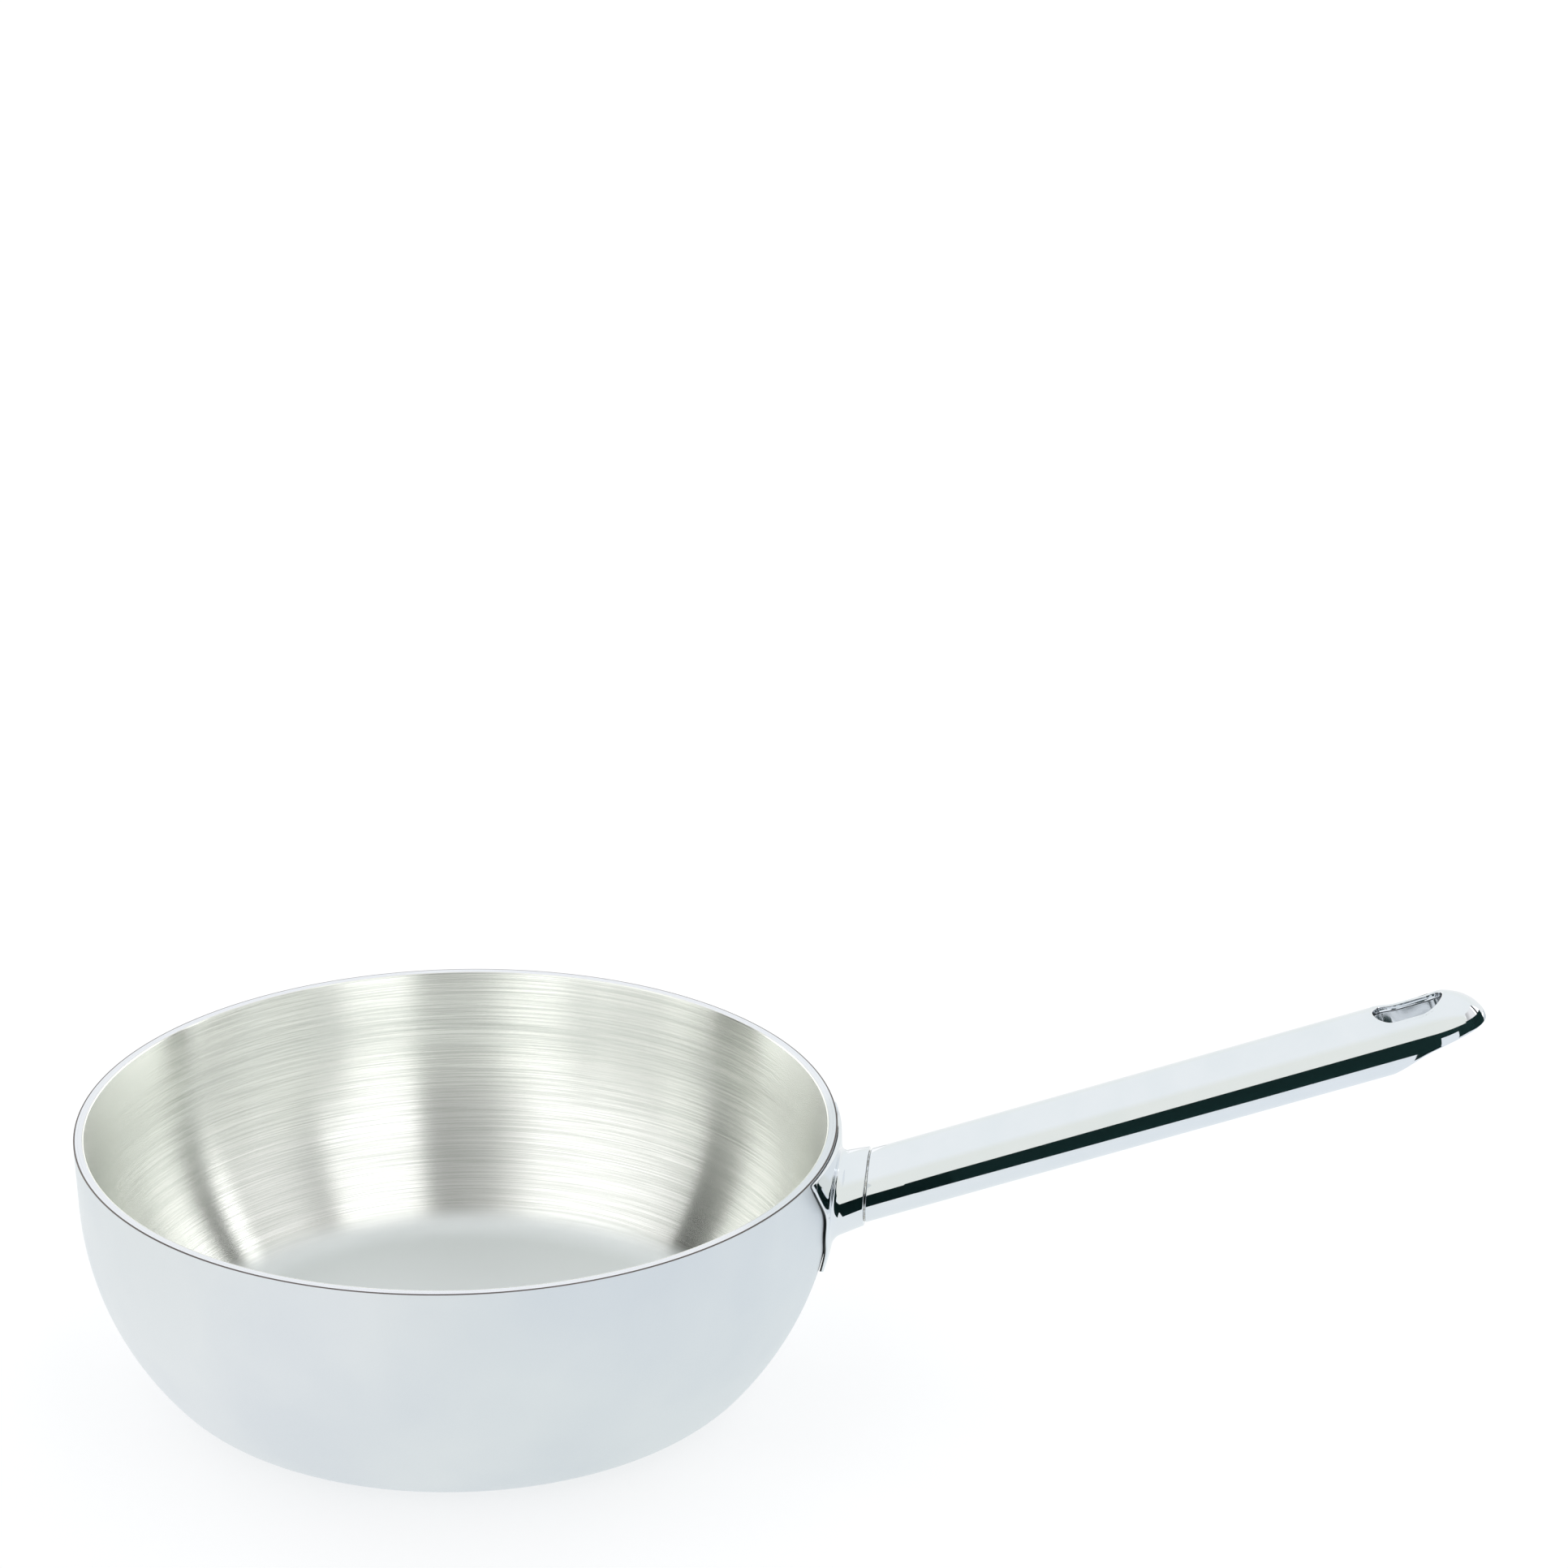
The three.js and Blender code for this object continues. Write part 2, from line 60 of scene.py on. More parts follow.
Pair = tuple[float, float]
Colour = tuple[float, float, float, float]
Row = list[Vector]
Socket = bpy.types.NodeSocket
Material = bpy.types.Material
Piece = bpy.types.Object


def linear(code: str) -> Colour:
    """Turn an sRGB colour into linear light.

    Args:
        code: The colour as #rrggbb.

    Returns:
        Linear red, green and blue, and an alpha of 1.
    """
    parts = [int(code[place:place + 2], 16) / 255 for place in (1, 3, 5)]
    red, green, blue = [part / 12.92 if part <= 0.04045 else ((part + 0.055) / 1.055) ** 2.4 for part in parts]
    return red, green, blue, 1.0


class Nodes:
    """A node tree being built. Most methods add one node and give the output that the next node takes."""

    def __init__(self, owner: Material | bpy.types.World) -> None:
        """Empty a node tree and start in it.

        Args:
            owner: The material or world that has the tree.
        """
        owner.use_nodes = True
        self.tree = owner.node_tree
        self.tree.nodes.clear()

    def add(self, kind: str, inputs: dict[str | int, Any] | None = None, **settings: Any) -> bpy.types.Node:
        """Add a node with its settings, its values and its links.

        Args:
            kind: The node's type, without the word that they all begin with.
            inputs: A value, or another node's output, for each named or numbered input.
            settings: The node's own properties.

        Returns:
            The new node.
        """
        node = self.tree.nodes.new(f"ShaderNode{kind}")
        for key, value in settings.items():
            setattr(node, key, value)
        for key, value in (inputs or {}).items():
            if isinstance(value, Socket):
                self.tree.links.new(value, node.inputs[key])
            else:
                node.inputs[key].default_value = value
        return node

    def place(self) -> Socket:
        """Give the point's own place on the piece."""
        return self.add("TexCoord").outputs["Object"]

    def split(self, vector: Socket) -> Any:
        """Give the X, Y and Z of a vector."""
        return self.add("SeparateXYZ", {0: vector}).outputs

    def maths(self, operation: str, *values: Any) -> Socket:
        """Work out a sum of numbers."""
        return self.add("Math", dict(enumerate(values)), operation=operation).outputs[0]

    def vector(self, operation: str, *values: Any) -> Socket:
        """Work out a sum of vectors, or a vector's length."""
        outputs = self.add("VectorMath", dict(enumerate(values)), operation=operation).outputs
        return outputs["Value" if operation == "LENGTH" else "Vector"]

    def noise(self, place: Socket, size_mm: float, detail: float) -> Socket:
        """Spread noise over a piece, with its size in millimetres."""
        inputs = {"Vector": place, "Scale": 1 / (size_mm * MM), "Detail": detail}
        return self.add("TexNoise", inputs).outputs["Fac"]

    def ramp(self, value: Socket, stops: Sequence[tuple[float, Colour]]) -> Socket:
        """Turn a value into a colour.

        Args:
            value: A value from 0 to 1.
            stops: Places and colours of the ramp.

        Returns:
            The colour.
        """
        node = self.add("ValToRGB", {0: value})
        marks = node.color_ramp.elements
        for step, (place, colour) in enumerate(stops):
            mark = marks[step] if step < 2 else marks.new(place)
            mark.position = place
            mark.color = colour
        return node.outputs[0]

    def tones(self, value: Socket, *stops: tuple[float, str]) -> Socket:
        """Turn a value into a colour, by stops with sRGB colours."""
        return self.ramp(value, [(place, linear(code)) for place, code in stops])

    def remap(self, value: Socket, start: Pair, end: Pair = (0.0, 1.0), **settings: Any) -> Socket:
        """Carry a value from the range it starts in to the range it ends in, and hold it there."""
        inputs = {"Value": value, "From Min": start[0], "From Max": start[1], "To Min": end[0], "To Max": end[1]}
        return self.add("MapRange", inputs, **settings).outputs[0]

    def mix(self, share: Any, first: Any, second: Any, kind: str = "RGBA", **settings: Any) -> Socket:
        """Mix two colours, or two values of another kind."""
        inputs = {"Factor": share, "A": first, "B": second}
        return self.add("Mix", inputs, data_type=kind, **settings).outputs["Result"]

    def bump(self, height: Socket, strength: float, depth_mm: float, **inputs: Socket) -> Socket:
        """Turn a height into a bumped normal."""
        inputs = {"Height": height, "Strength": strength, "Distance": depth_mm * MM, **inputs}
        return self.add("Bump", inputs).outputs[0]

    def metal(self, colour: Any, roughness: Any, inputs: dict[str, Any] | None = None) -> Socket:
        """Add the shader of bare metal."""
        inputs = {"Base Color": colour, "Metallic": 1.0, "Roughness": roughness, **(inputs or {})}
        return self.add("BsdfPrincipled", inputs).outputs[0]

    def glow(self, colour: Any, strength: Any) -> Socket:
        """Add the shader of something lit."""
        return self.add("Emission", {"Color": colour, "Strength": strength}).outputs[0]

    def blend(self, share: Any, first: Socket, second: Socket) -> Socket:
        """Mix two shaders."""
        return self.add("MixShader", {0: share, 1: first, 2: second}).outputs[0]

    def one_sided(self, front: Socket, back: Socket) -> Socket:
        """Show one shader on the fronts of faces and another on their backs."""
        return self.blend(self.add("NewGeometry").outputs["Backfacing"], front, back)

    def finish(self, shader: Socket, kind: str = "Material") -> None:
        """Make a shader the tree's surface."""
        self.add(f"Output{kind}", {"Surface": shader})


def start_material(name: str) -> tuple[Material, Nodes]:
    """Start a material, named for the real one, and its node tree."""
    material = bpy.data.materials.new(name)
    return material, Nodes(material)


def start_piece() -> None:
    """Deselect everything, so that the next primitive is the only thing selected."""
    bpy.ops.object.select_all(action="DESELECT")


def edit_mode(on: bool) -> None:
    """Enter or leave edit mode."""
    bpy.ops.object.mode_set(mode="EDIT" if on else "OBJECT")


def close_mesh() -> None:
    """Merge the doubles of the mesh in edit mode, turn its faces outwards and leave edit mode."""
    bpy.ops.mesh.select_all(action="SELECT")
    bpy.ops.mesh.remove_doubles(threshold=TOUCH)
    bpy.ops.mesh.normals_make_consistent(inside=False)
    edit_mode(False)


def turn_profile(outline: Sequence[Pair], steps: int) -> Piece:
    """Draw a profile as a ring of points, and spin it round the pan's axis.

    Args:
        outline: Radius and height of each point, in millimetres, from axis to axis.
        steps: Steps of the whole turn.

    Returns:
        The turned piece.
    """
    start_piece()
    bpy.ops.mesh.primitive_circle_add(vertices=len(outline), fill_type="NOTHING")
    for vertex, (radius, height) in zip(bpy.context.object.data.vertices, outline):
        vertex.co = Vector((radius, 0.0, height)) * MM
    edit_mode(True)
    bpy.ops.mesh.select_all(action="SELECT")
    bpy.ops.mesh.spin(steps=steps, angle=2 * math.pi, center=(0.0, 0.0, 0.0), axis=(0.0, 0.0, 1.0))
    close_mesh()
    return bpy.context.object


def lay_grid(rows: Sequence[Row]) -> Piece:
    """Lay a grid over rows of equally many points, with the grid's edges still open.

    Args:
        rows: Rows of points, in millimetres in the pan's frame.

    Returns:
        The open skin.
    """
    start_piece()
    bpy.ops.mesh.primitive_grid_add(x_subdivisions=len(rows[0]) - 1, y_subdivisions=len(rows) - 1)
    skin = bpy.context.object
    places = [coordinate * MM for row in rows for point in row for coordinate in point]
    skin.data.vertices.foreach_set("co", places)
    skin.data.update()
    return skin


def lay_rings(rows: Sequence[Row]) -> Piece:
    """Lay a grid over rings of points, each ring back to its own start."""
    return lay_grid([[*row, row[0]] for row in rows])


def roll_grid(rows: Sequence[Row]) -> Piece:
    """Roll a grid into a closed skin over rings of points.

    Args:
        rows: Rings of points. A ring whose points all agree becomes a pole.

    Returns:
        The closed piece.
    """
    skin = lay_rings(rows)
    edit_mode(True)
    close_mesh()
    return skin


def settle(piece: Piece, name: str, node: str, surface: Material) -> None:
    """Name, shade and dress a piece, and let it ride in the place of its CAD node.

    Args:
        piece: The finished mesh.
        name: The piece's own name.
        node: The CAD node that it stands for.
        surface: Its finish.
    """
    piece.name = name
    piece.data.name = name
    piece.data.materials.clear()
    piece.data.materials.append(surface)
    start_piece()
    piece.select_set(True)
    bpy.context.view_layer.objects.active = piece
    bpy.ops.object.shade_smooth_by_angle(angle=SHARP)
    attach(piece, BODY)
    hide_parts(node)
    LOG.info("%s: %d faces in place of %s", name, len(piece.data.polygons), node)


def spread(start: float, end: float, count: int) -> list[float]:
    """Give evenly spaced numbers from start to end, both included."""
    return [start + (end - start) * step / (count - 1) for step in range(count)]


def around(count: int) -> list[float]:
    """Give evenly spaced angles, once round."""
    return [2 * math.pi * step / count for step in range(count)]


def close_in(passes: Callable[[float], bool], no: float, yes: float, steps: int) -> float:
    """Halve a range until it closes on the place where a test begins to pass.

    Args:
        passes: The test.
        no: The end that fails it.
        yes: The end that passes it.
        steps: Number of halvings.

    Returns:
        The last place that passed.
    """
    for _ in range(steps):
        middle = (no + yes) / 2
        if passes(middle):
            yes = middle
        else:
            no = middle
    return yes


def arc(middle: Pair, radius: float, start: float, end: float, count: int) -> list[Pair]:
    """Give points on an arc, from one angle in degrees to another, both included."""
    turns = [math.radians(turn) for turn in spread(start, end, count)]
    return [(middle[0] + radius * math.cos(turn), middle[1] + radius * math.sin(turn)) for turn in turns]


@dataclass(frozen=True)
class SatinSteel:
    """Stainless steel, satin outside: a soft even grey with a fine matt grain, and a painted dark line on the rounded
    edge at the rim, which stands in for a dark reflection there.
    """

    tint: str = "#e6e9ec"
    shade: str = "#dfe3e8"
    # painted dark reflection: the colour of the thin dark line on the rim's rounded outer edge
    edge: str = "#5c5552"
    roughness: float = 0.42
    vary: float = 0.05  # change of roughness with the grain
    grain_mm: float = 0.5  # the real grain is near 0.05 mm and is drawn coarser so that it shows
    cloud_mm: float = 60.0
    bump: Pair = (0.12, 0.02)  # strength, and depth in millimetres
    painted_rim_line_mm: Pair = (0.3, 0.1)  # depths below the rim between which the painted dark line begins

    def material(self) -> Material:
        """Build the node material.

        Returns:
            The material.
        """
        material, nodes = start_material("satin_stainless_steel")
        place = nodes.place()
        cloud = nodes.noise(place, self.cloud_mm, 3.0)
        grain = nodes.noise(place, self.grain_mm, 2.0)
        tone = nodes.tones(cloud, (0.35, self.shade), (0.65, self.tint))
        low, high = [(RIM_HEIGHT - depth) * MM for depth in self.painted_rim_line_mm]
        # painted dark reflection on the rim's rounded outer edge, above these depths
        painted_rim_line = nodes.remap(nodes.split(place)["Z"], (low, high))
        colour = nodes.mix(painted_rim_line, tone, linear(self.edge))
        gloss = nodes.remap(grain, (0.3, 0.7), (self.roughness - self.vary, self.roughness + self.vary))
        nodes.finish(nodes.metal(colour, gloss, {"Normal": nodes.bump(grain, *self.bump)}))
        return material


@dataclass(frozen=True)
class BrushedSteel:
    """Stainless steel brushed round the bowl: fine long streaks, and highlights drawn out across them."""

    tint: str = "#fafbf7"
    shade: str = "#e1e4de"
    floor_tint: str = "#e9edee"
    roughness: float = 0.21
    haze: float = 0.44  # roughness of the wide soft lobe that the deeper scratches add
    haze_share: float = 0.25
    vary: float = 0.06  # change of roughness from streak to streak
    floor_roughness: float = 0.65
    lean: float = math.tan(math.radians(5.0))  # raises the shading normal, and with it the reflected bands
    streak_mm: float = 0.3  # the real scratch is near 0.1 mm wide and is drawn wider so that it shows
    length_mm: float = 42.0
    bump: Pair = (0.5, 0.028)  # strength, and depth in millimetres
    wall_mm: float = 110.0  # radius at which a streak has that length
    bundle_share: float = 0.12  # of streaks four times as wide and twice as long
    floor_mm: Pair = (4.0, 10.0)  # heights between which the calm floor turns into the brushed wall

    def strand(self, nodes: Nodes, place: Socket, wider: float, longer: float) -> Socket:
        """Wind streaks round the bowl.

        Args:
            nodes: The material's tree.
            place: The point's place.
            wider: Width, times the finest streak's.
            longer: Length, times the finest streak's.

        Returns:
            The streaks, as values round a half.
        """
        flat = nodes.vector("MULTIPLY", place, IN_PLAN)
        along = nodes.maths("ADD", nodes.vector("LENGTH", flat), nodes.split(place)["Z"])
        heading = nodes.split(nodes.vector("NORMALIZE", flat))
        turns = self.wall_mm / (self.length_mm * longer)
        wound = nodes.add("CombineXYZ", {
            "X": nodes.maths("MULTIPLY", heading["X"], turns),
            "Y": nodes.maths("MULTIPLY", heading["Y"], turns),
            "Z": nodes.maths("MULTIPLY", along, 1 / (self.streak_mm * wider * MM)),
        })
        inputs = {"Vector": wound.outputs[0], "Scale": 1.0, "Detail": 4.0, "Roughness": 0.6}
        return nodes.add("TexNoise", inputs).outputs["Fac"]

    def material(self) -> Material:
        """Build the node material.

        Returns:
            The material.
        """
        material, nodes = start_material("brushed_stainless_steel")
        place = nodes.place()
        fine, bundle = self.strand(nodes, place, 1.0, 1.0), self.strand(nodes, place, 4.0, 2.0)
        streak = nodes.mix(self.bundle_share, fine, bundle, "FLOAT")
        tone = nodes.tones(streak, (0.4, self.shade), (0.6, self.tint))
        square = nodes.add("NewGeometry").outputs["Normal"]
        raised = nodes.vector("NORMALIZE", nodes.vector("ADD", square, (0.0, 0.0, self.lean)))
        brushing = {
            "Normal": nodes.bump(fine, *self.bump, Normal=raised),
            "Anisotropic": 1.0,
            "Anisotropic Rotation": 0.25,
            "Tangent": nodes.add("Tangent", direction_type="RADIAL", axis="Z").outputs[0],
        }
        lobes = []
        for roughness in (self.roughness, self.haze):
            gloss = nodes.remap(streak, (0.35, 0.65), (roughness + self.vary, roughness - self.vary))
            lobes.append(nodes.metal(tone, gloss, brushing))
        wall = nodes.blend(self.haze_share, *lobes)
        floor = nodes.metal(linear(self.floor_tint), self.floor_roughness)
        low, high = [height * MM for height in self.floor_mm]
        brushed = nodes.remap(nodes.split(place)["Z"], (low, high), interpolation_type="SMOOTHSTEP")
        nodes.finish(nodes.blend(brushed, floor, wall))
        return material


@dataclass(frozen=True)
class GroundAluminium:
    """Aluminium core, bare where the rim is ground flat: a pale ring with fine turning marks."""

    tint: str = "#e4e7eb"
    shade: str = "#d9dde2"
    roughness: float = 0.25
    mark_mm: float = 0.3
    bump: Pair = (0.1, 0.02)  # strength, and depth in millimetres

    def material(self) -> Material:
        """Build the node material.

        Returns:
            The material.
        """
        material, nodes = start_material("ground_aluminium")
        radius = nodes.vector("LENGTH", nodes.vector("MULTIPLY", nodes.place(), IN_PLAN))
        inputs = {"W": radius, "Scale": 1 / (self.mark_mm * MM), "Detail": 2.0}
        mark = nodes.add("TexNoise", inputs, noise_dimensions="1D").outputs["Fac"]
        tone = nodes.tones(mark, (0.35, self.shade), (0.65, self.tint))
        nodes.finish(nodes.metal(tone, self.roughness, {"Normal": nodes.bump(mark, *self.bump)}))
        return material


@dataclass(frozen=True)
class MirrorSteel:
    """Stainless steel, mirror polished: clear reflections, a faint haze, fine wiping marks, and painted shade where a
    piece marks it.
    """

    tint: str = "#eef0f4"
    shade: str = "#ebeef2"
    roughness: float = 0.045
    vary: Pair = (-0.015, 0.02)  # change of roughness with the wiping marks
    # painted shade: the dark colour laid along the foot's edge next to the wall, where the mark is set
    painted_edge_shade: str = "#1c2222"
    haze_mm: float = 14.0
    mark_mm: float = 0.8  # the real wiping marks are near 0.02 mm and are drawn wider so that they show
    mark_stretch: float = 0.04  # the marks run along the tube
    bump: Pair = (0.02, 0.01)  # strength, and depth in millimetres

    def material(self) -> Material:
        """Build the node material.

        Returns:
            The material.
        """
        material, nodes = start_material("mirror_polished_stainless_steel")
        place = nodes.place()
        haze = nodes.noise(place, self.haze_mm, 4.0)
        wiping = {"Vector": place, "Rotation": (0.0, HANDLE_TILT, 0.0), "Scale": (self.mark_stretch, 1.0, 1.0)}
        mark = nodes.noise(nodes.add("Mapping", wiping).outputs[0], self.mark_mm, 3.0)
        tone = nodes.tones(haze, (0.35, self.shade), (0.65, self.tint))
        painted_edge_shade = nodes.add("Attribute", attribute_name="painted_edge_shade").outputs["Fac"]
        colour = nodes.mix(painted_edge_shade, tone, linear(self.painted_edge_shade))
        gloss = nodes.remap(mark, (0.35, 0.7), (self.roughness + self.vary[0], self.roughness + self.vary[1]))
        nodes.finish(nodes.metal(colour, gloss, {"Normal": nodes.bump(mark, *self.bump)}))
        return material


@dataclass(frozen=True)
class WeldSteel:
    """Stainless weld metal, wire brushed: dull grey with ripples and a faint straw heat tint."""

    tint: str = "#a9a9a8"
    heat: str = "#8d8375"
    roughness: float = 0.45
    ripple_mm: float = 1.2
    bump: Pair = (0.4, 0.1)  # strength, and depth in millimetres

    def material(self) -> Material:
        """Build the node material.

        Returns:
            The material.
        """
        material, nodes = start_material("stainless_weld_metal")
        ripple = nodes.noise(nodes.place(), self.ripple_mm, 3.0)
        tone = nodes.tones(ripple, (0.4, self.heat), (0.62, self.tint))
        nodes.finish(nodes.metal(tone, self.roughness, {"Normal": nodes.bump(ripple, *self.bump)}))
        return material


class Layer(Enum):
    """The bonded layers of the bowl, from the outside in."""

    SKIN = "skin"
    CORE = "core"
    LINER = "liner"


@dataclass(frozen=True)
class Bowl:
    """The drawn clad bowl in millimetres: base, tight heel curve, long side curve and straight wall."""

    rim_inner_diameter: float = 240.0
    height: float = RIM_HEIGHT
    lean: float = math.radians(2.4)
    side_radius: float = 96.0
    heel_radius: float = 22.5
    heel_sweep: float = math.radians(50.0)
    liner: float = 0.5
    core: float = 2.24
    skin: float = 0.5
    bond_line: float = 0.03
    rim_round: float = 0.32
    steps: int = 288
    heel_points: int = 26
    side_points: int = 48
    rim_points: int = 7

    @cached_property
    def wall(self) -> float:
        """Thickness of the whole wall."""
        return self.liner + self.core + self.skin + 2 * self.bond_line

    @cached_property
    def rim_radius(self) -> float:
        """Outer radius at the rim."""
        return self.rim_inner_diameter / 2 + self.wall / math.cos(self.lean)

    @cached_property
    def heel_slope(self) -> float:
        """Angle below the horizontal at which the heel curve runs into the side curve."""
        return QUARTER - self.heel_sweep

    @cached_property
    def side_height(self) -> float:
        """Height of the centre of the side curve."""
        return self.heel_radius + (self.side_radius - self.heel_radius) * math.sin(self.heel_slope)

    @cached_property
    def side_top(self) -> float:
        """Height at which the side curve ends and the straight wall begins."""
        return self.side_height - self.side_radius * math.sin(self.lean)

    @cached_property
    def side_middle(self) -> float:
        """Radius of the centre of the side curve."""
        straight = (self.height - self.side_top) * math.tan(self.lean)
        return self.rim_radius - straight - self.side_radius * math.cos(self.lean)

    @cached_property
    def base_radius(self) -> float:
        """Radius of the flat base."""
        return self.side_middle + (self.side_radius - self.heel_radius) * math.cos(self.heel_slope)

    def profile(self, depth: float) -> list[Pair]:
        """Draw the profile, set in from the outside.

        Args:
            depth: Distance in from the outer surface.

        Returns:
            Radius and height of each point, from the axis to the rim.
        """
        slope = math.degrees(self.heel_slope)
        base = [(self.base_radius * share, depth) for share in (0.0, 0.2, 0.45, 0.7, 0.88)]
        heel = arc((self.base_radius, self.heel_radius), self.heel_radius - depth, -90.0, -slope, self.heel_points)
        lean, middle = math.degrees(self.lean), (self.side_middle, self.side_height)
        side = arc(middle, self.side_radius - depth, -slope, -lean, self.side_points)
        return [*base, *heel, *side[1:], (self.rim_radius - depth / math.cos(self.lean), self.height)]

    def outline(self, outer: float, inner: float) -> list[Pair]:
        """Draw the section of one layer, with the rim's two corners rounded.

        Args:
            outer: Depth of the layer's outside.
            inner: Depth of its inside.

        Returns:
            Radius and height of each point, from the axis out and back to the axis.
        """
        outside = self.profile(outer)
        inside = self.profile(inner)
        low = self.height - self.rim_round
        if outer == 0.0:
            outside[-1:] = arc((outside[-1][0] - self.rim_round, low), self.rim_round, 0.0, 90.0, self.rim_points)
        if inner == self.wall:
            inside[-1:] = arc((inside[-1][0] + self.rim_round, low), self.rim_round, 180.0, 90.0, self.rim_points)
        return [*outside, *reversed(inside)]

    def depths(self, layer: Layer) -> Pair:
        """Find a layer in the wall.

        Args:
            layer: The layer.

        Returns:
            Depths of its outside and its inside.
        """
        core = self.skin + self.bond_line
        liner = core + self.core + self.bond_line
        return {
            Layer.SKIN: (0.0, self.skin),
            Layer.CORE: (core, core + self.core),
            Layer.LINER: (liner, self.wall),
        }[layer]

    def build(self) -> None:
        """Turn the three layers and dress them."""
        pieces = {
            Layer.SKIN: ("bowl_skin", "outer_skin", "satin_skin", SatinSteel()),
            Layer.CORE: ("bowl_core", "aluminium_core", "core_metal", GroundAluminium()),
            Layer.LINER: ("bowl_liner", "cooking_liner", "brushed_liner", BrushedSteel()),
        }
        for layer, (name, node, slot, finish) in pieces.items():
            piece = turn_profile(self.outline(*self.depths(layer)), self.steps)
            settle(piece, name, node, finish.material())

    def wall_point(self, along: float, drop: float, lift: float) -> Vector:
        """Find a point near the outside of the wall.

        Args:
            along: Arc along the wall from the handle's plane.
            drop: Depth below the rim.
            lift: Distance off the wall.

        Returns:
            The point in the pan's frame.
        """
        height = self.height - drop
        slope = self.lean
        radius = self.rim_radius - drop * math.tan(self.lean)
        if height <= self.side_top:
            slope = math.asin((self.side_height - height) / self.side_radius)
            radius = self.side_middle + self.side_radius * math.cos(slope)
        reach = radius + lift * math.cos(slope)
        turn = along / radius
        return Vector((reach * math.cos(turn), reach * math.sin(turn), height - lift * math.sin(slope)))

    def lift_off(self, point: Vector) -> tuple[float, Vector]:
        """Measure how far a point stands off the wall.

        Args:
            point: A point in the pan's frame.

        Returns:
            The distance, and the wall's outward direction there.
        """
        radius = math.hypot(point.x, point.y)
        across = radius - self.side_middle
        below = self.side_height - point.z
        slope = math.atan2(below, across)
        lift = math.hypot(across, below) - self.side_radius
        if slope <= self.lean:
            slope = self.lean
            lift = (radius - self.rim_radius) * math.cos(slope) - (point.z - self.height) * math.sin(slope)
        flat = math.cos(slope) / radius
        return lift, Vector((point.x * flat, point.y * flat, -math.sin(slope)))

    def lifted(self, point: Vector, lift: float) -> Vector:
        """Move a point square to the wall until it stands off it by a lift."""
        now, outward = self.lift_off(point)
        return point + outward * (lift - now)


@dataclass(frozen=True)
class HandleLine:
    """The handle's axis: it starts on the wall and rises outwards. Its own frame has X along the tube."""

    bowl: Bowl
    drop: float = 19.4
    tilt: float = HANDLE_TILT
    search: Pair = (-40.0, 80.0)  # stations between which the root lies

    @cached_property
    def start(self) -> Vector:
        """Point where the axis meets the wall."""
        return self.bowl.wall_point(0.0, self.drop, 0.0)

    @cached_property
    def mitre(self) -> float:
        """Angle between the tube and the square to the wall."""
        fall = self.bowl.side_height - (self.bowl.height - self.drop)
        return self.tilt + max(self.bowl.lean, math.asin(fall / self.bowl.side_radius))

    def to_pan(self, along: float, across: float, up: float) -> Vector:
        """Carry a point of the handle's own frame into the pan's frame."""
        cosine, sine = math.cos(self.tilt), math.sin(self.tilt)
        return self.start + Vector((along * cosine - up * sine, across, along * sine + up * cosine))

    def ring(self, angles: Sequence[float], radius: float, station: float) -> Row:
        """Draw a circle square to the tube, at a station along it."""
        return [self.to_pan(station, radius * math.cos(angle), radius * math.sin(angle)) for angle in angles]

    def mitred_ring(self, angles: Sequence[float], radius: float, distance: float) -> Row:
        """Draw a circle round the tube, in a plane parallel to the wall.

        Args:
            angles: Angle of each point round the tube.
            radius: Distance of the points from the axis.
            distance: Distance of the plane from the wall.

        Returns:
            The points in the pan's frame.
        """
        row = []
        for angle in angles:
            up = radius * math.sin(angle)
            along = (distance + up * math.sin(self.mitre)) / math.cos(self.mitre)
            row.append(self.to_pan(along, radius * math.cos(angle), up))
        return row

    def root_point(self, angle: float, radius: float, lift: float) -> Vector:
        """Find where a line beside the axis stands off the wall by a lift.

        Args:
            angle: Angle round the axis.
            radius: Distance of the line from the axis.
            lift: Distance off the wall.

        Returns:
            The point in the pan's frame.
        """
        across, up = radius * math.cos(angle), radius * math.sin(angle)
        along = close_in(lambda place: self.bowl.lift_off(self.to_pan(place, across, up))[0] > lift, *self.search, 40)
        return self.to_pan(along, across, up)


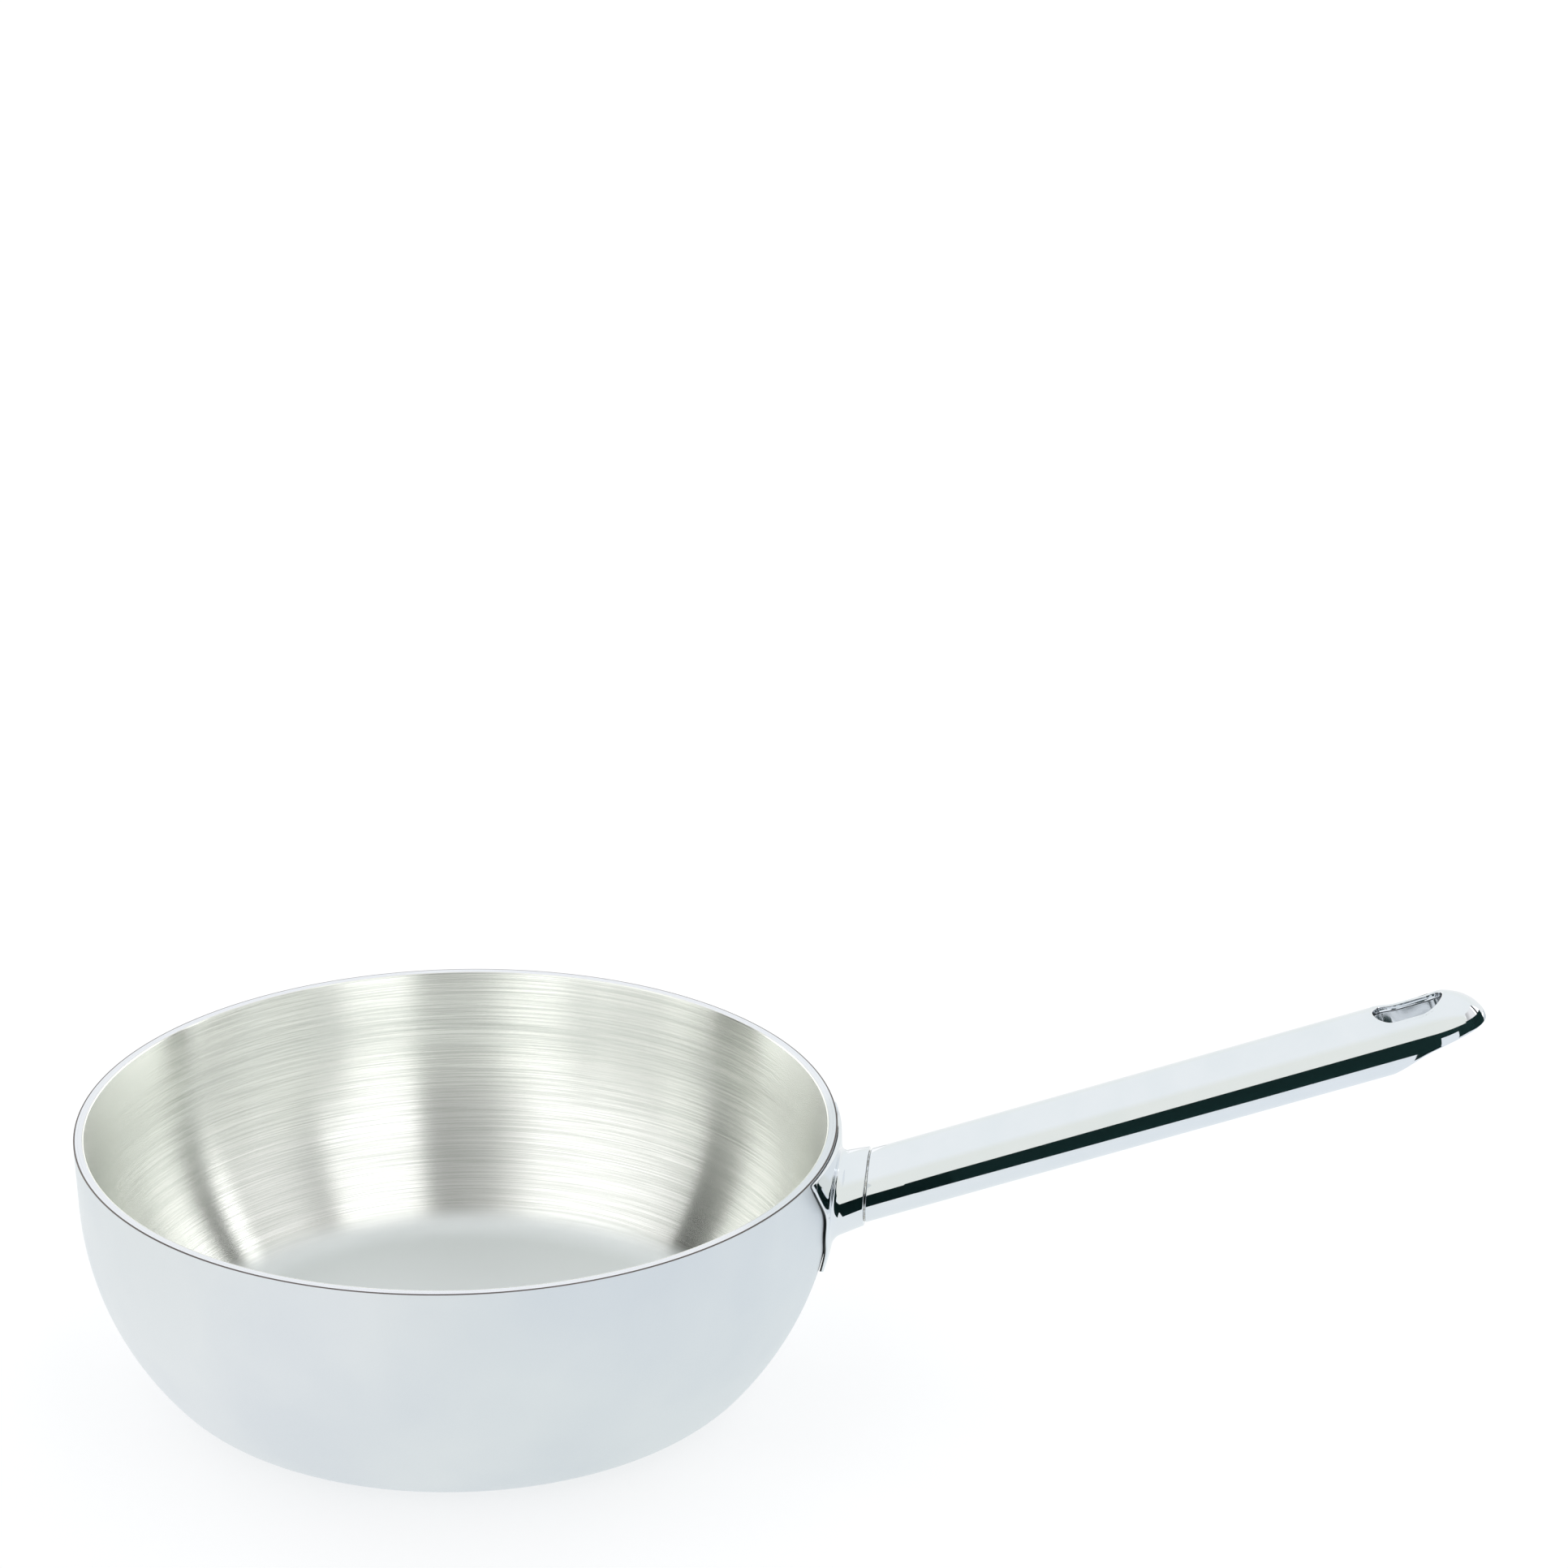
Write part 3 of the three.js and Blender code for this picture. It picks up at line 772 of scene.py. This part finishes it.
@dataclass(frozen=True)
class HandleFoot:
    """The cast shield on the wall, with the neck and the spigot that carries the tube."""

    line: HandleLine
    top_drop: float = 0.7
    width: float = 66.0
    waist: float = 30.0
    waist_drop: float = 5.0
    tail_width: float = 15.0
    tail_drop: float = 25.0
    tail_round: float = 2.2
    tail_flare: float = 1.0
    corner: float = 1.6
    standoff: float = 0.4
    edge: float = 0.3
    edge_start: float = 0.4  # share of the edge that stands square to the wall
    thickness: float = 1.4
    taper: float = 0.033
    neck_length: float = 11.3
    neck_flare: float = 1.6
    neck_step: float = 0.85
    neck_fillet: float = 2.6
    neck_break: float = 0.3
    seam_width: float = 0.6
    spigot_radius: float = 9.65
    spigot_length: float = 16.0
    spigot_break: float = 1.2
    painted_shade_drop: float = 4.0  # painted shade along the foot's edge begins this far below the rim
    half_points: int = 200

    @property
    def crown(self) -> float:
        """Height of the shield off the wall, round the neck."""
        return self.standoff + self.thickness

    @property
    def low_edge(self) -> float:
        """Height off the wall at which the shield's edge begins to round."""
        return self.standoff + self.edge * self.edge_start

    def half_outline(self) -> list[Pair]:
        """Draw half of the shield from the middle of its top to the end of its tail.

        Returns:
            Evenly spaced points, across the handle and above its axis.
        """
        top = self.line.drop - self.top_drop
        wing, waist, tail = self.width / 2, self.waist / 2, self.tail_width / 2
        turn_in = -self.tail_drop + self.tail_round
        curves = [
            [(0.0, top), (wing - self.corner, top)],
            [(wing - self.corner, top), (wing, top), (wing - self.corner, top - self.corner)],
            [(wing - self.corner, top - self.corner), (waist + (wing - waist) * 0.3, top * 0.2), (waist, top * 0.1),
             (waist, -self.waist_drop)],
            [(waist, -self.waist_drop), (waist, -self.tail_drop / 2), (tail + self.tail_flare, -self.tail_drop / 2),
             (tail, turn_in)],
            [(tail, turn_in), (tail, -self.tail_drop), (0.0, -self.tail_drop)],
        ]
        path: list[Pair] = []
        for curve in curves:
            path.extend(bezier(curve, share) for share in spread(0.0, 1.0, 120))
        return even_points(path, self.half_points)

    def rows(self) -> list[Row]:
        """Lay the rings of the foot.

        Returns:
            Rings from the middle of its back to the end of its spigot.
        """
        bowl, line = self.line.bowl, self.line
        right = self.half_outline()
        outline = [(-across, up) for across, up in right[1:-1]] + right[::-1]
        polar = [(math.atan2(up, across), math.hypot(across, up)) for across, up in outline]
        angles = [angle for angle, _ in polar]
        crown, low = self.crown, self.low_edge

        def on_shield(share: float, inset: float, lift_at: Callable[[float], float]) -> Row:
            """Draw the shield's outline off the wall.

            Args:
                share: Size of the outline.
                inset: Distance that it is set in.
                lift_at: Distance off the wall, from the distance sideways.

            Returns:
                The points in the pan's frame.
            """
            row = []
            for angle, reach in polar:
                distance = reach * share - inset
                along = distance * math.cos(angle)
                row.append(bowl.wall_point(along, line.drop - distance * math.sin(angle), lift_at(abs(along))))
            return row

        rows = [on_shield(share, 0.0, lambda _: self.standoff) for share in (0.0, 0.2, 0.4, 0.6, 0.8, 0.95, 1.0)]
        for turn in spread(0.0, QUARTER, 6):
            rows.append(on_shield(
                1.0, self.edge * (1 - math.cos(turn)),
                lambda sideways: low + (crown - self.taper * sideways - low) * math.sin(turn)))

        root = TUBE_RADIUS + self.neck_flare
        fillet = []
        for turn in spread(0.0, QUARTER, 14):
            reach_out = root + self.neck_fillet * (1 - math.sin(turn))
            lift = crown + self.neck_fillet * (1 - math.cos(turn))
            fillet.append([line.root_point(angle, min(reach_out, reach - self.edge), lift) for angle, reach in polar])
        rim = rows[-1]
        for share in spread(0.0, 1.0, 12)[1:-1]:
            row = []
            for here, there in zip(rim, fillet[0]):
                lift = bowl.lift_off(here)[0] * (1 - share) + crown * share
                row.append(bowl.lifted(here.lerp(there, share), lift))
            rows.append(row)
        rows.extend(fillet)

        shoulder = self.neck_length - self.seam_width / 2
        end = TUBE_RADIUS + self.neck_step
        for turn in spread(0.0, QUARTER, 5):
            radius = end - self.neck_break * (1 - math.cos(turn))
            rows.append(line.mitred_ring(angles, radius, shoulder - self.neck_break * (1 - math.sin(turn))))
        rows.append(line.mitred_ring(angles, self.spigot_radius, shoulder))
        tip = self.neck_length / math.cos(line.mitre) + self.spigot_length
        rows.append(line.ring(angles, self.spigot_radius, tip - self.spigot_break))
        rows.append(line.ring(angles, self.spigot_radius - self.spigot_break, tip))
        rows.append(line.ring(angles, 0.0, tip))
        return rows

    def build(self, surface: Material) -> None:
        """Cast the foot in one piece, mark where shade is painted along its edge next to the wall, and dress it.

        Args:
            surface: Its finish.
        """
        foot = roll_grid(self.rows())
        # marks the points along the foot's edge next to the wall that get painted shade
        marks = foot.data.attributes.new("painted_edge_shade", "FLOAT", "POINT")
        for vertex, mark in zip(foot.data.vertices, marks.data):
            place = vertex.co / MM
            half_way = (self.low_edge + self.crown - self.taper * abs(place.y)) / 2
            below_rim = place.z < self.line.bowl.height - self.painted_shade_drop
            mark.value = float(below_rim and self.line.bowl.lift_off(place)[0] < half_way)
        settle(foot, "foot_casting", "handle_foot", surface)


def bezier(curve: Sequence[Pair], share: float) -> Pair:
    """Find a point on a Bezier curve of any order.

    Args:
        curve: The curve's control points.
        share: Place along it, from 0 to 1.

    Returns:
        The point.
    """
    points = list(curve)
    while len(points) > 1:
        points = [(a[0] + (b[0] - a[0]) * share, a[1] + (b[1] - a[1]) * share) for a, b in zip(points, points[1:])]
    return points[0]


def even_points(path: Sequence[Pair], count: int) -> list[Pair]:
    """Pick points at equal distances along a path.

    Args:
        path: The path as many short steps.
        count: Number of points, both ends included.

    Returns:
        The points in order.
    """
    lengths = [0.0]
    for here, there in zip(path, path[1:]):
        lengths.append(lengths[-1] + math.dist(here, there))
    points = []
    place = 0
    for goal in spread(0.0, lengths[-1], count):
        while place < len(path) - 2 and lengths[place + 1] < goal:
            place += 1
        step = lengths[place + 1] - lengths[place]
        share = min((goal - lengths[place]) / step, 1.0) if step > 0 else 0.0
        here, there = path[place], path[place + 1]
        points.append((here[0] + (there[0] - here[0]) * share, here[1] + (there[1] - here[1]) * share))
    return points


class Side(Enum):
    """The two faces of the tube that the hanging hole opens through, and which way each one faces."""

    TOP = 1.0
    UNDER = -1.0


@dataclass(frozen=True)
class HandleTube:
    """The tube: straight, closed by a rounded nose over a scooped underside, with a rolled hanging hole."""

    line: HandleLine
    reach: float = 218.7
    radius: float = TUBE_RADIUS
    wall: float = 1.2
    end_break: float = 0.3
    root_distance: float = 11.6
    bore_end: float = 34.0
    plain: Pair = (40.0, 172.0)  # stations along the plain tube
    lead_in: float = 174.0  # station from which the rows draw closer
    nose_length: float = 16.7
    tip_height: float = -1.4
    scoop_radius: float = 44.0
    scoop_floor: float = -2.8
    scoop_end: float = 6.7
    scoop_edge: float = 28.0
    hole_length: float = 22.4
    hole_width: float = 14.0
    hole_setback: float = 22.2
    top_roll: float = 1.3
    top_lip: float = 2.6
    under_roll: float = 1.0
    under_lip: float = 2.0
    lip_break: float = 0.1
    lip_overlap: float = 0.12  # of the lip past the sleeve
    sleeve_wall: float = 1.0
    sleeve_break: float = 0.15
    sleeve_gap: float = 0.3
    columns: int = 192
    nose_rows: int = 26
    window_rows: int = 41
    window: float = 15.0  # half the length of the patch round the hole, along the tube

    @property
    def nose_start(self) -> float:
        """Station at which the nose begins to close."""
        return self.reach - self.nose_length

    @property
    def hole_middle(self) -> float:
        """Station of the middle of the hole."""
        return self.reach - self.hole_setback

    @property
    def hole_straight(self) -> float:
        """Half the length of the hole's straight sides."""
        return (self.hole_length - self.hole_width) / 2

    def floor_height(self, station: float) -> float:
        """Height of the scooped underside at a station."""
        run = min(max(self.reach - self.scoop_end - station, 0.0), self.scoop_radius)
        return self.scoop_floor - self.scoop_radius + math.sqrt(self.scoop_radius ** 2 - run ** 2)

    def nose_share(self, station: float) -> float:
        """How far the nose has closed: 1 on the plain tube and 0 at the tip."""
        run = max(station - self.nose_start, 0.0) / self.nose_length
        return math.sqrt(max(1 - run * run, 0.0))

    def section(self, station: float, angle: float) -> Pair:
        """Find a point of the tube's section.

        Args:
            station: Distance along the tube.
            angle: Angle round the section.

        Returns:
            Distance across the tube and height above its axis.
        """
        floor = self.floor_height(station)
        middle = (max(floor, -self.radius) + self.radius) / 2
        across, up = math.cos(angle), math.sin(angle)
        reach = math.sqrt(self.radius ** 2 - (middle * across) ** 2) - middle * up
        if up < -LEVEL:
            to_floor = (floor - middle) / up
            reach = (reach ** -self.scoop_edge + to_floor ** -self.scoop_edge) ** (-1 / self.scoop_edge)
        share = self.nose_share(station)
        return reach * across * share, self.tip_height + (middle + reach * up - self.tip_height) * share

    def surface_height(self, side: Side, station: float, across: float) -> float:
        """Find the height of the tube's top or underside over a place beside its axis."""
        steep = close_in(lambda turn: self.section(station, turn)[0] < abs(across), 0.0, side.value * QUARTER, 36)
        return self.section(station, steep)[1]

    def hole_point(self, side: Side, heading: Pair, start: float, widen: float, depth: float) -> Vector:
        """Find a point on the hole's lip or wall.

        Args:
            side: The face that the depth is measured from.
            heading: Direction in plan, away from the hole's middle line.
            start: Place on that middle line, from the hole's middle.
            widen: Distance outside the plain hole.
            depth: Distance below the face.

        Returns:
            The point in the pan's frame.
        """
        radius = self.hole_width / 2 + widen
        station = self.hole_middle + start + radius * heading[0]
        across = radius * heading[1]
        return self.line.to_pan(station, across, self.surface_height(side, station, across) - side.value * depth)

    def border(self, side: Side, stations: Sequence[float]) -> list[Pair]:
        """Walk round the patch that carries the hole, on the columns and stations of the tube.

        Args:
            side: Top or underside.
            stations: The tube's stations along the patch.

        Returns:
            Station and angle of each point, once round.
        """
        angles = around(self.columns)
        first, last = self.patch_columns(side)
        columns = [angles[column % self.columns] for column in range(first, last + 1)]
        walk = [(stations[0], angle) for angle in columns[:-1]]
        walk += [(station, columns[-1]) for station in stations[:-1]]
        walk += [(stations[-1], angle) for angle in columns[:0:-1]]
        walk += [(station, columns[0]) for station in stations[:0:-1]]
        return walk

    def patch_columns(self, side: Side) -> tuple[int, int]:
        """Find the patch round the hole.

        Args:
            side: Top or underside.

        Returns:
            Its first and last column.
        """
        middle = self.columns // 4 if side is Side.TOP else self.columns * 3 // 4
        half = self.columns // 6 if side is Side.TOP else self.columns * 5 // 32
        return middle - half, middle + half

    def patch(self, side: Side, stations: Sequence[float]) -> list[Row]:
        """Lay the rings of one face round the hole: from the patch's border in to the lip, and down its roll.

        Args:
            side: Top or underside.
            stations: The tube's stations along the patch.

        Returns:
            Rings from the border to the recess behind the lip.
        """
        straight = self.hole_straight
        roll = self.top_roll if side is Side.TOP else self.under_roll
        lip = self.top_lip if side is Side.TOP else self.under_lip
        border = []
        for station, angle in self.border(side, stations):
            across, up = self.section(station, angle)
            offset = station - self.hole_middle
            start = min(max(offset, -straight), straight)
            away = math.hypot(offset - start, across)
            border.append((station, across, up, start, ((offset - start) / away, across / away)))
        rows = [[self.line.to_pan(station, across, up) for station, across, up, _, _ in border]]
        for share in spread(0.0, 1.0, 9)[1:-1]:
            row = []
            for station, across, _, start, heading in border:
                radius = self.hole_width / 2 + roll
                inner = (self.hole_middle + start + radius * heading[0], radius * heading[1])
                here = station + (inner[0] - station) * share
                there = across + (inner[1] - across) * share
                row.append(self.line.to_pan(here, there, self.surface_height(side, here, there)))
            rows.append(row)
        steps = [(roll * (1 - math.sin(turn)), roll * (1 - math.cos(turn))) for turn in spread(0.0, QUARTER, 11)]
        steps += [(0.0, lip - self.lip_break), (self.lip_break, lip), (self.sleeve_wall + self.lip_overlap, lip)]
        for widen, depth in steps:
            rows.append([self.hole_point(side, heading, start, widen, depth) for _, _, _, start, heading in border])
        return rows

    def build(self, surface: Material) -> None:
        """Roll the tube, set the two faces of the hole into it, join them and dress the piece.

        Args:
            surface: Its finish.
        """
        angles = around(self.columns)
        patch_stations = spread(self.hole_middle - self.window, self.hole_middle + self.window, self.window_rows)
        turns = spread(math.asin((patch_stations[-1] - self.nose_start) / self.nose_length), QUARTER, self.nose_rows)
        nose = [self.nose_start + self.nose_length * math.sin(turn) for turn in turns[1:]]
        lead_in = spread(self.lead_in, patch_stations[0], 7)[:-1]
        stations = [*spread(*self.plain, 9), *lead_in, *patch_stations, *nose]
        near = self.root_distance
        rows = [
            self.line.ring(angles, 0.0, self.bore_end),
            self.line.ring(angles, self.radius - self.wall, self.bore_end),
            self.line.mitred_ring(angles, self.radius - self.wall, near),
        ]
        for turn in spread(0.0, QUARTER, 5):
            radius = self.radius - self.end_break * (1 - math.sin(turn))
            rows.append(self.line.mitred_ring(angles, radius, near + self.end_break * (1 - math.cos(turn))))
        rows += [[self.line.to_pan(station, *self.section(station, angle)) for angle in angles]
                 for station in stations]
        tube = lay_rings(rows)
        self.open_windows(tube, len(rows) - len(stations) + stations.index(patch_stations[0]), len(patch_stations) - 1)
        faces = [lay_rings(self.patch(side, patch_stations)) for side in Side]
        start_piece()
        for piece in [*faces, tube]:
            piece.select_set(True)
        bpy.context.view_layer.objects.active = tube
        bpy.ops.object.join()
        edit_mode(True)
        bpy.ops.mesh.select_all(action="SELECT")
        bpy.ops.mesh.remove_doubles(threshold=TOUCH)
        bpy.ops.mesh.select_mode(type="EDGE")
        bpy.ops.mesh.select_all(action="DESELECT")
        bpy.ops.mesh.select_non_manifold(use_wire=False, use_boundary=True, use_multi_face=False,
                                         use_non_contiguous=False, use_verts=False)
        bpy.ops.mesh.bridge_edge_loops()
        bpy.ops.mesh.select_mode(type="VERT")
        close_mesh()
        settle(tube, "tube_polished", "handle_tube", surface)

    def open_windows(self, tube: Piece, first_row: int, row_count: int) -> None:
        """Delete the faces of the tube where the two faces of the hole go.

        Args:
            tube: The rolled grid, still open.
            first_row: First row of the window.
            row_count: Number of rows of faces in it.
        """
        spans = [self.patch_columns(side) for side in Side]
        edit_mode(True)
        bpy.ops.mesh.select_mode(type="FACE")
        bpy.ops.mesh.select_all(action="DESELECT")
        edit_mode(False)
        for face in tube.data.polygons:
            row, column = divmod(face.index, self.columns)
            inside = any(first <= column < last for first, last in spans)
            face.select = first_row <= row < first_row + row_count and inside
        edit_mode(True)
        bpy.ops.mesh.delete(type="FACE")
        bpy.ops.mesh.select_mode(type="VERT")
        edit_mode(False)

    def build_sleeve(self, surface: Material) -> None:
        """Roll the oval sleeve that lines the hole between the two lips, and dress it.

        Args:
            surface: Its finish.
        """
        ways = []
        for end in (1.0, -1.0):
            for turn in spread(-QUARTER, QUARTER, 49):
                ways.append((end * self.hole_straight, (end * math.cos(turn), end * math.sin(turn))))
        above, below = self.top_lip + self.sleeve_gap, self.under_lip + self.sleeve_gap
        wall, cut = self.sleeve_wall, self.sleeve_break
        corners = [
            (Side.TOP, 0.0, above + cut), (Side.TOP, cut, above),
            (Side.TOP, wall - cut, above), (Side.TOP, wall, above + cut),
            (Side.UNDER, wall, below + cut), (Side.UNDER, wall - cut, below),
            (Side.UNDER, cut, below), (Side.UNDER, 0.0, below + cut),
        ]
        rows = [[self.hole_point(side, heading, start, widen, depth) for start, heading in ways]
                for side, widen, depth in corners]
        settle(roll_grid([*rows, rows[0]]), "hole_sleeve", "hanging_sleeve", surface)


@dataclass(frozen=True)
class SeamWeld:
    """The weld bead in the narrow groove between neck and tube."""

    line: HandleLine
    inner: float = 9.75
    outer: float = 10.85
    near: float = 11.1
    far: float = 11.5
    crown: float = 0.05
    columns: int = 192

    def build(self, surface: Material) -> None:
        """Roll the bead and dress it.

        Args:
            surface: Its finish.
        """
        angles = around(self.columns)
        section = [(self.inner, self.far), (self.inner, self.near)]
        for share in spread(0.0, 1.0, 7):
            distance = self.near + (self.far - self.near) * share
            section.append((self.outer - self.crown * (2 * share - 1) ** 2, distance))
        rows = [self.line.mitred_ring(angles, radius, distance) for radius, distance in section]
        settle(roll_grid([*rows, rows[0]]), "seam_bead", "tube_seam_weld", surface)


@dataclass(frozen=True)
class Studio:
    """Pale floor, a soft bright room with darker gaps, black cards and a white tent by the handle, and the camera."""

    line: HandleLine
    yaw: float = math.radians(7.0)
    camera_mm: tuple[float, float, float] = (299.537, -1570.493, 837.152)
    camera_pitch: float = math.radians(68.364)
    lens_mm: float = 124.84
    sensor_mm: float = 36.0
    bowl_middle: float = 60.0  # height that the room's panels are set out round
    floor_size: float = 12.0
    floor_tint: str = "#eef0f2"
    floor_white: float = 1.1
    floor_seen: float = 0.6  # share of that white in what the camera sees
    floor_mirrored: float = 0.9  # share of the lit floor in reflections
    tent_radius: float = 60.0
    tent_start: Pair = (-10.0, 18.0)  # station in front, and how much further out it is beside the far wall
    handle_end: float = 300.0  # station to which tent and cards reach
    overhead: float = 1.1  # the room's level high above and behind
    peak: float = 4.0  # a ramp holds no more than 1, so levels are kept as shares of this

    def camera(self) -> None:
        """Stand the camera where the photograph was taken."""
        lens = bpy.data.cameras.new("photo_camera")
        lens.lens = self.lens_mm
        lens.sensor_width = self.sensor_mm
        lens.sensor_fit = "HORIZONTAL"
        lens.clip_end = 50.0
        stand = bpy.data.objects.new("photo_camera", lens)
        bpy.context.scene.collection.objects.link(stand)
        stand.location = Vector(self.camera_mm) * MM
        stand.rotation_euler = (self.camera_pitch, 0.0, self.yaw)
        bpy.context.scene.camera = stand

    def floor(self) -> None:
        """Lay the floor: white to the camera and in reflections, with the pan's own soft shadow."""
        start_piece()
        bpy.ops.mesh.primitive_grid_add(x_subdivisions=24, y_subdivisions=24, size=self.floor_size)
        floor = bpy.context.object
        floor.name = "studio_floor"
        material, nodes = start_material("matt_white_paper")
        path = nodes.add("LightPath").outputs
        matt = nodes.add("BsdfDiffuse", {"Color": linear(self.floor_tint)}).outputs[0]
        white = nodes.glow(linear("#ffffff"), self.floor_white)
        side = nodes.split(nodes.place())
        share = nodes.remap(side["X"], (-0.3, 0.3))
        tone = nodes.tones(share, (0.0, "#f8fbf9"), (0.35, "#fdfffe"), (0.6, "#f2f7f6"), (1.0, "#eaf1f5"))
        pale = nodes.glow(tone, nodes.remap(side["Y"], (0.15, 0.5), (1.0, 0.78)))
        seen = nodes.maths("MULTIPLY", path["Is Camera Ray"], self.floor_seen)
        mirrored = nodes.maths("MULTIPLY", path["Is Glossy Ray"], self.floor_mirrored)
        nodes.finish(nodes.blend(mirrored, nodes.blend(seen, matt, white), pale))
        floor.data.materials.append(material)

    def hang(self, piece: Piece, name: str, material: Material) -> None:
        """Show a card or a cloth in reflections only.

        Args:
            piece: The card or the cloth.
            name: Its name.
            material: Its finish.
        """
        piece.name = name
        piece.data.materials.append(material)
        piece.visible_camera = False
        piece.visible_diffuse = False
        piece.visible_shadow = False
        piece.visible_transmission = False

    def cards(self) -> None:
        """Hang black cards round the handle to draw its dark lines."""
        material, nodes = start_material("black_card")
        matt = nodes.add("BsdfDiffuse", {"Color": linear("#172a29")}).outputs[0]
        nodes.finish(nodes.one_sided(matt, nodes.add("BsdfTransparent").outputs[0]))
        end = self.handle_end
        front = [(20.0, 0.4), (end, 0.4), (end, -33.0), (224.0, -33.0), (224.0, -8.0), (206.0, -8.0),
                 (203.0, -33.0), (140.0, -33.0), (20.0, -23.5)]
        root = [(3.0, 0.8), (40.0, 0.8), (40.0, -9.0), (3.0, -9.0)]
        under = [(191.0, -30.0), (204.0, -30.0), (204.0, -12.0), (191.0, -12.0)]
        tip = [(-70.0, 5.0), (50.0, 5.0), (50.0, -70.0), (-70.0, -70.0)]
        shapes = {
            "front": [(along, -30.0, up) for along, up in front],
            "root": [(along, -17.0, up) for along, up in root],
            "under": [(along, across, -32.0) for along, across in under],
            "tip": [(285.0, across, up) for across, up in tip],
        }
        for name, corners in shapes.items():
            start_piece()
            bpy.ops.mesh.primitive_circle_add(vertices=len(corners), fill_type="NGON")
            card = bpy.context.object
            for vertex, corner in zip(card.data.vertices, corners):
                vertex.co = self.line.to_pan(*corner) * MM
            card.data.update()
            self.hang(card, f"black_card_{name}", material)

    def tent(self) -> None:
        """Stretch a white tent over the handle, so that its polish shows soft even tones."""
        tones = [(-8.0, "#f1f4ee"), (30.0, "#f1f4ee"), (46.0, "#f7fbfb"), (132.0, "#f7fbfb"), (146.0, "#f5f9f7"),
                 (156.0, "#f5f9f7"), (168.0, "#f9fbfa"), (196.0, "#f9fbfa")]
        columns = 9
        rows = []
        for turn, _ in tones:
            across, up = -math.cos(math.radians(turn)), math.sin(math.radians(turn))
            start = self.tent_start[0] + self.tent_start[1] * max(across, 0.0) ** 2
            rows.append([self.line.to_pan(along, self.tent_radius * across, self.tent_radius * up)
                         for along in spread(start, self.handle_end, columns)])
        tent = lay_grid(rows)
        glow = tent.data.color_attributes.new("glow", "FLOAT_COLOR", "POINT")
        for index, spot in enumerate(glow.data):
            spot.color = linear(tones[index // columns][1])
        material, nodes = start_material("lit_white_cloth")
        light = nodes.glow(nodes.add("VertexColor", layer_name="glow").outputs["Color"], 1.0)
        nodes.finish(nodes.one_sided(nodes.add("BsdfTransparent").outputs[0], light))
        self.hang(tent, "white_tent", material)

    def grey(self, level: float) -> Colour:
        """Give a level of the room as a share of the peak."""
        return level / self.peak, level / self.peak, level / self.peak, 1.0

    def room(self) -> None:
        """Light the pan with a bright room: white to the camera, panels and darker gaps to the metal."""
        world = bpy.data.worlds.new("studio_room")
        bpy.context.scene.world = world
        nodes = Nodes(world)
        way = nodes.add("TexCoord").outputs["Generated"]
        view = (Vector(self.camera_mm) - Vector((0.0, 0.0, self.bowl_middle))).normalized()
        halfway = nodes.vector("ADD", way, view)
        parts = nodes.split(halfway)
        bearing = nodes.maths("ARCTAN2", parts["X"], nodes.maths("MULTIPLY", parts["Y"], -1.0))
        walls = [
            (-90, 2.3), (-72, 2.65), (-59.5, 3.1), (-55.5, 2.1), (-51.6, 0.03), (-46, 0.01), (-43.6, 0.02),
            (-41.9, 0.85), (-38, 1.0), (-34, 1.2), (-26, 1.35), (-18, 1.38), (-11, 1.28), (-6, 0.84), (-2, 0.55),
            (6, 0.4), (9.5, 0.44), (11, 1.35), (22, 1.45), (27.2, 1.32), (28.5, 0.48), (36, 0.9), (42, 0.95),
            (47.2, 0.82), (48.4, 2.4), (50.3, 2.4), (51.2, 0.02), (54.8, 0.02), (58.8, 2.2), (66, 2.9), (72, 2.7),
            (90, 2.25),
        ]  # bearing from the camera's, in degrees, and level
        stops = [((at + math.degrees(self.yaw) + 180) / 360, self.grey(level)) for at, level in walls]
        panels = nodes.ramp(nodes.remap(bearing, (-math.pi, math.pi)), stops)
        reach = nodes.vector("LENGTH", nodes.vector("MULTIPLY", halfway, IN_PLAN))
        steep = nodes.maths("DIVIDE", parts["Z"], reach)
        above = nodes.remap(steep, (1.5, 2.6), interpolation_type="SMOOTHSTEP")
        shares = nodes.mix(above, panels, self.grey(self.overhead))
        sky = nodes.mix(1.0, shares, (self.peak, self.peak, self.peak, 1.0), blend_type="MULTIPLY")
        seen = nodes.mix(nodes.add("LightPath").outputs["Is Camera Ray"], sky, (1.0, 1.0, 1.0, 1.0))
        nodes.finish(nodes.add("Background", {"Color": seen, "Strength": 1.0}).outputs[0], "World")

    def build(self) -> None:
        """Set up the whole studio."""
        self.floor()
        self.cards()
        self.tent()
        self.room()
        self.camera()
        bpy.context.scene.view_settings.view_transform = "Standard"
        LOG.info("studio: floor, cards, tent, room and camera")


def dress_welds(surface: Material) -> None:
    """Dress the projection welds behind the foot.

    Args:
        surface: Their finish.
    """
    for node in ("foot_weld_centre", "foot_weld_tail", "foot_weld_left", "foot_weld_right"):
        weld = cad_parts[node]
        weld.data.materials.clear()
        weld.data.materials.append(surface)
        LOG.info("%s: dressed", node)


def main() -> None:
    """Build the bowl, the handle and the studio in order."""
    logging.basicConfig(level=logging.INFO, format="%(message)s")
    bowl = Bowl()
    line = HandleLine(bowl)
    mirror = MirrorSteel().material()
    weld = WeldSteel().material()
    bowl.build()
    HandleFoot(line).build(mirror)
    tube = HandleTube(line)
    tube.build(mirror)
    # the sleeve gets a lighter copy of the polished steel, which paints light into the hole's shaded inside
    tube.build_sleeve(MirrorSteel(tint="#f7f8fa", shade="#f1f3f6", roughness=0.15).material())
    SeamWeld(line).build(WeldSteel(tint="#eef0f1", heat="#bdb9b3", roughness=0.18).material())
    dress_welds(weld)
    Studio(line).build()


if __name__ == "__main__":
    main()
